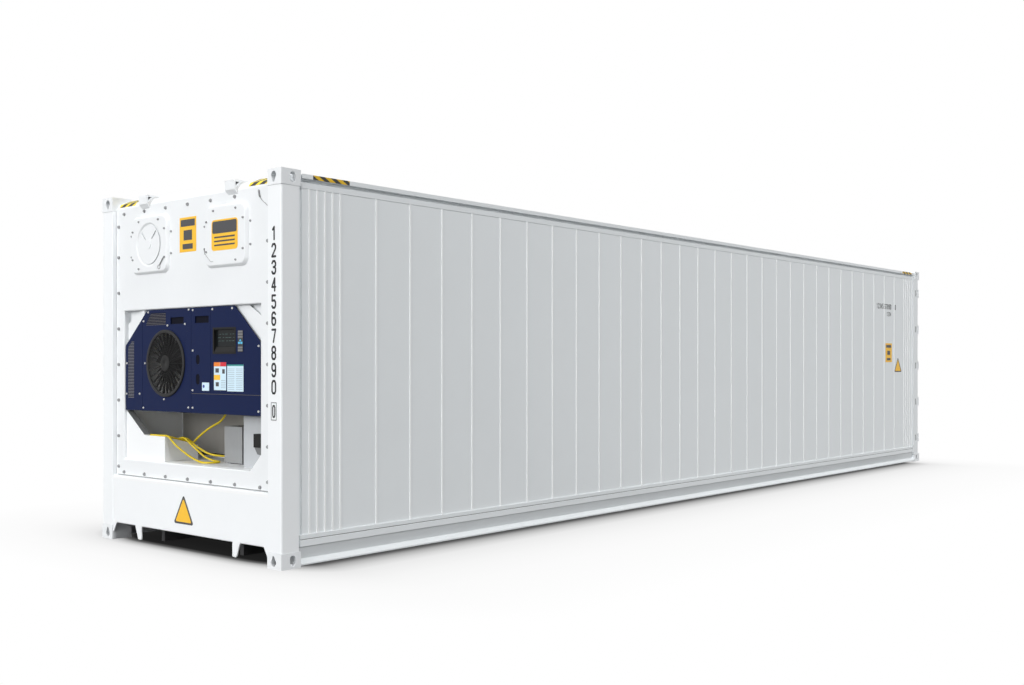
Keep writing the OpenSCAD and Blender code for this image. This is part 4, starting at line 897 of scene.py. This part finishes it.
def floorMaterial():
    mat = bpy.data.materials.new("studioFloor")
    mat.use_nodes = True
    tree = mat.node_tree
    tree.nodes.clear()
    place = addNode(tree, "ShaderNodeTexCoord").outputs["Object"]
    offset = vectorStep(tree, "SUBTRACT", place, shadow["middle"])[0]
    mirrored = vectorStep(tree, "ABSOLUTE", offset)[0]
    past = vectorStep(tree, "SUBTRACT", mirrored, shadow["half"])[0]
    outside = vectorStep(tree, "MAXIMUM", past)[0]
    squeezed = vectorStep(tree, "MULTIPLY", outside, shadow["squeeze"])[0]
    reach = vectorStep(tree, "LENGTH", squeezed)["Value"]
    tone = addNode(tree, "ShaderNodeMapRange", {"Value": reach, "From Max": shadow["reach"]})
    ramp = addNode(tree, "ShaderNodeValToRGB", {"Fac": tone.outputs["Result"]})
    for i, (at, value) in enumerate(shadow["stops"]):
        element = ramp.color_ramp.elements[i] if i < 2 else ramp.color_ramp.elements.new(at)
        element.position = at
        element.color = (value, value, value, 1)
    seen = addNode(tree, "ShaderNodeEmission", {"Color": ramp.outputs["Color"]})
    lit = addNode(tree, "ShaderNodeBsdfDiffuse", {"Color": (0.1, 0.1, 0.1, 1)})
    choose = addNode(tree, "ShaderNodeMixShader", {0: seenRays(tree), 1: lit.outputs[0], 2: seen.outputs[0]})
    addNode(tree, "ShaderNodeOutputMaterial", {"Surface": choose.outputs[0]})
    return mat


mesh = bpy.data.meshes.new("floor")
mesh.from_pydata([(-80, -80, 0), (80, -80, 0), (80, 80, 0), (-80, 80, 0)], [], [[0, 1, 2, 3]])
floor = bpy.data.objects.new("floor", mesh)
bpy.context.scene.collection.objects.link(floor)
mesh.materials.append(floorMaterial())

world = bpy.data.worlds.new("studio")
bpy.context.scene.world = world
world.use_nodes = True
tree = world.node_tree
tree.nodes.clear()
ambient = addNode(tree, "ShaderNodeBackground", {"Color": (0.95, 0.98, 1.0, 1), "Strength": 0.30})
backdrop = addNode(tree, "ShaderNodeBackground", {"Color": (1, 1, 1, 1), "Strength": 1.0})
choose = addNode(tree, "ShaderNodeMixShader", {
    0: seenRays(tree), 1: ambient.outputs[0], 2: backdrop.outputs[0]})
addNode(tree, "ShaderNodeOutputWorld", {"Surface": choose.outputs[0]})

# a crisp light from the upper left, soft ones from the front and over the long side, a fill from behind
studio = {
    "key": {"energy": 0.55, "angle": 4, "travel": (0.64, -0.22, -0.735)},
    "frontSoft": {"energy": 2.8, "angle": 50, "travel": (0.97, 0.06, -0.16)},
    "sideSoft": {"energy": 1.58, "angle": 20, "travel": (0.05, 0.70, -0.71)},
    "rearSoft": {"energy": 1.3, "angle": 12, "travel": (-0.78, -0.62, -0.1)},
}
for name, light in studio.items():
    lamp = bpy.data.lights.new(name, "SUN")
    lamp.energy = light["energy"]
    lamp.angle = math.radians(light["angle"])
    o = bpy.data.objects.new(name, lamp)
    bpy.context.scene.collection.objects.link(o)
    o.rotation_euler = Vector(light["travel"]).to_track_quat("-Z", "Y").to_euler()

view = {"lens": 39.70, "shift": 0.0215, "eye": (-11.1754, -7.7224, 1.4795), "heading": 40.46}
cam = bpy.data.cameras.new("camera")
cam.sensor_width = 36
cam.lens = view["lens"]
cam.shift_y = view["shift"]
cam.clip_end = 500
eye = bpy.data.objects.new("camera", cam)
bpy.context.scene.collection.objects.link(eye)
eye.location = view["eye"]
eye.rotation_euler = (math.pi / 2, 0, math.radians(view["heading"] - 90))
bpy.context.scene.camera = eye
bpy.context.scene.view_settings.view_transform = "Standard"
print("stage done")
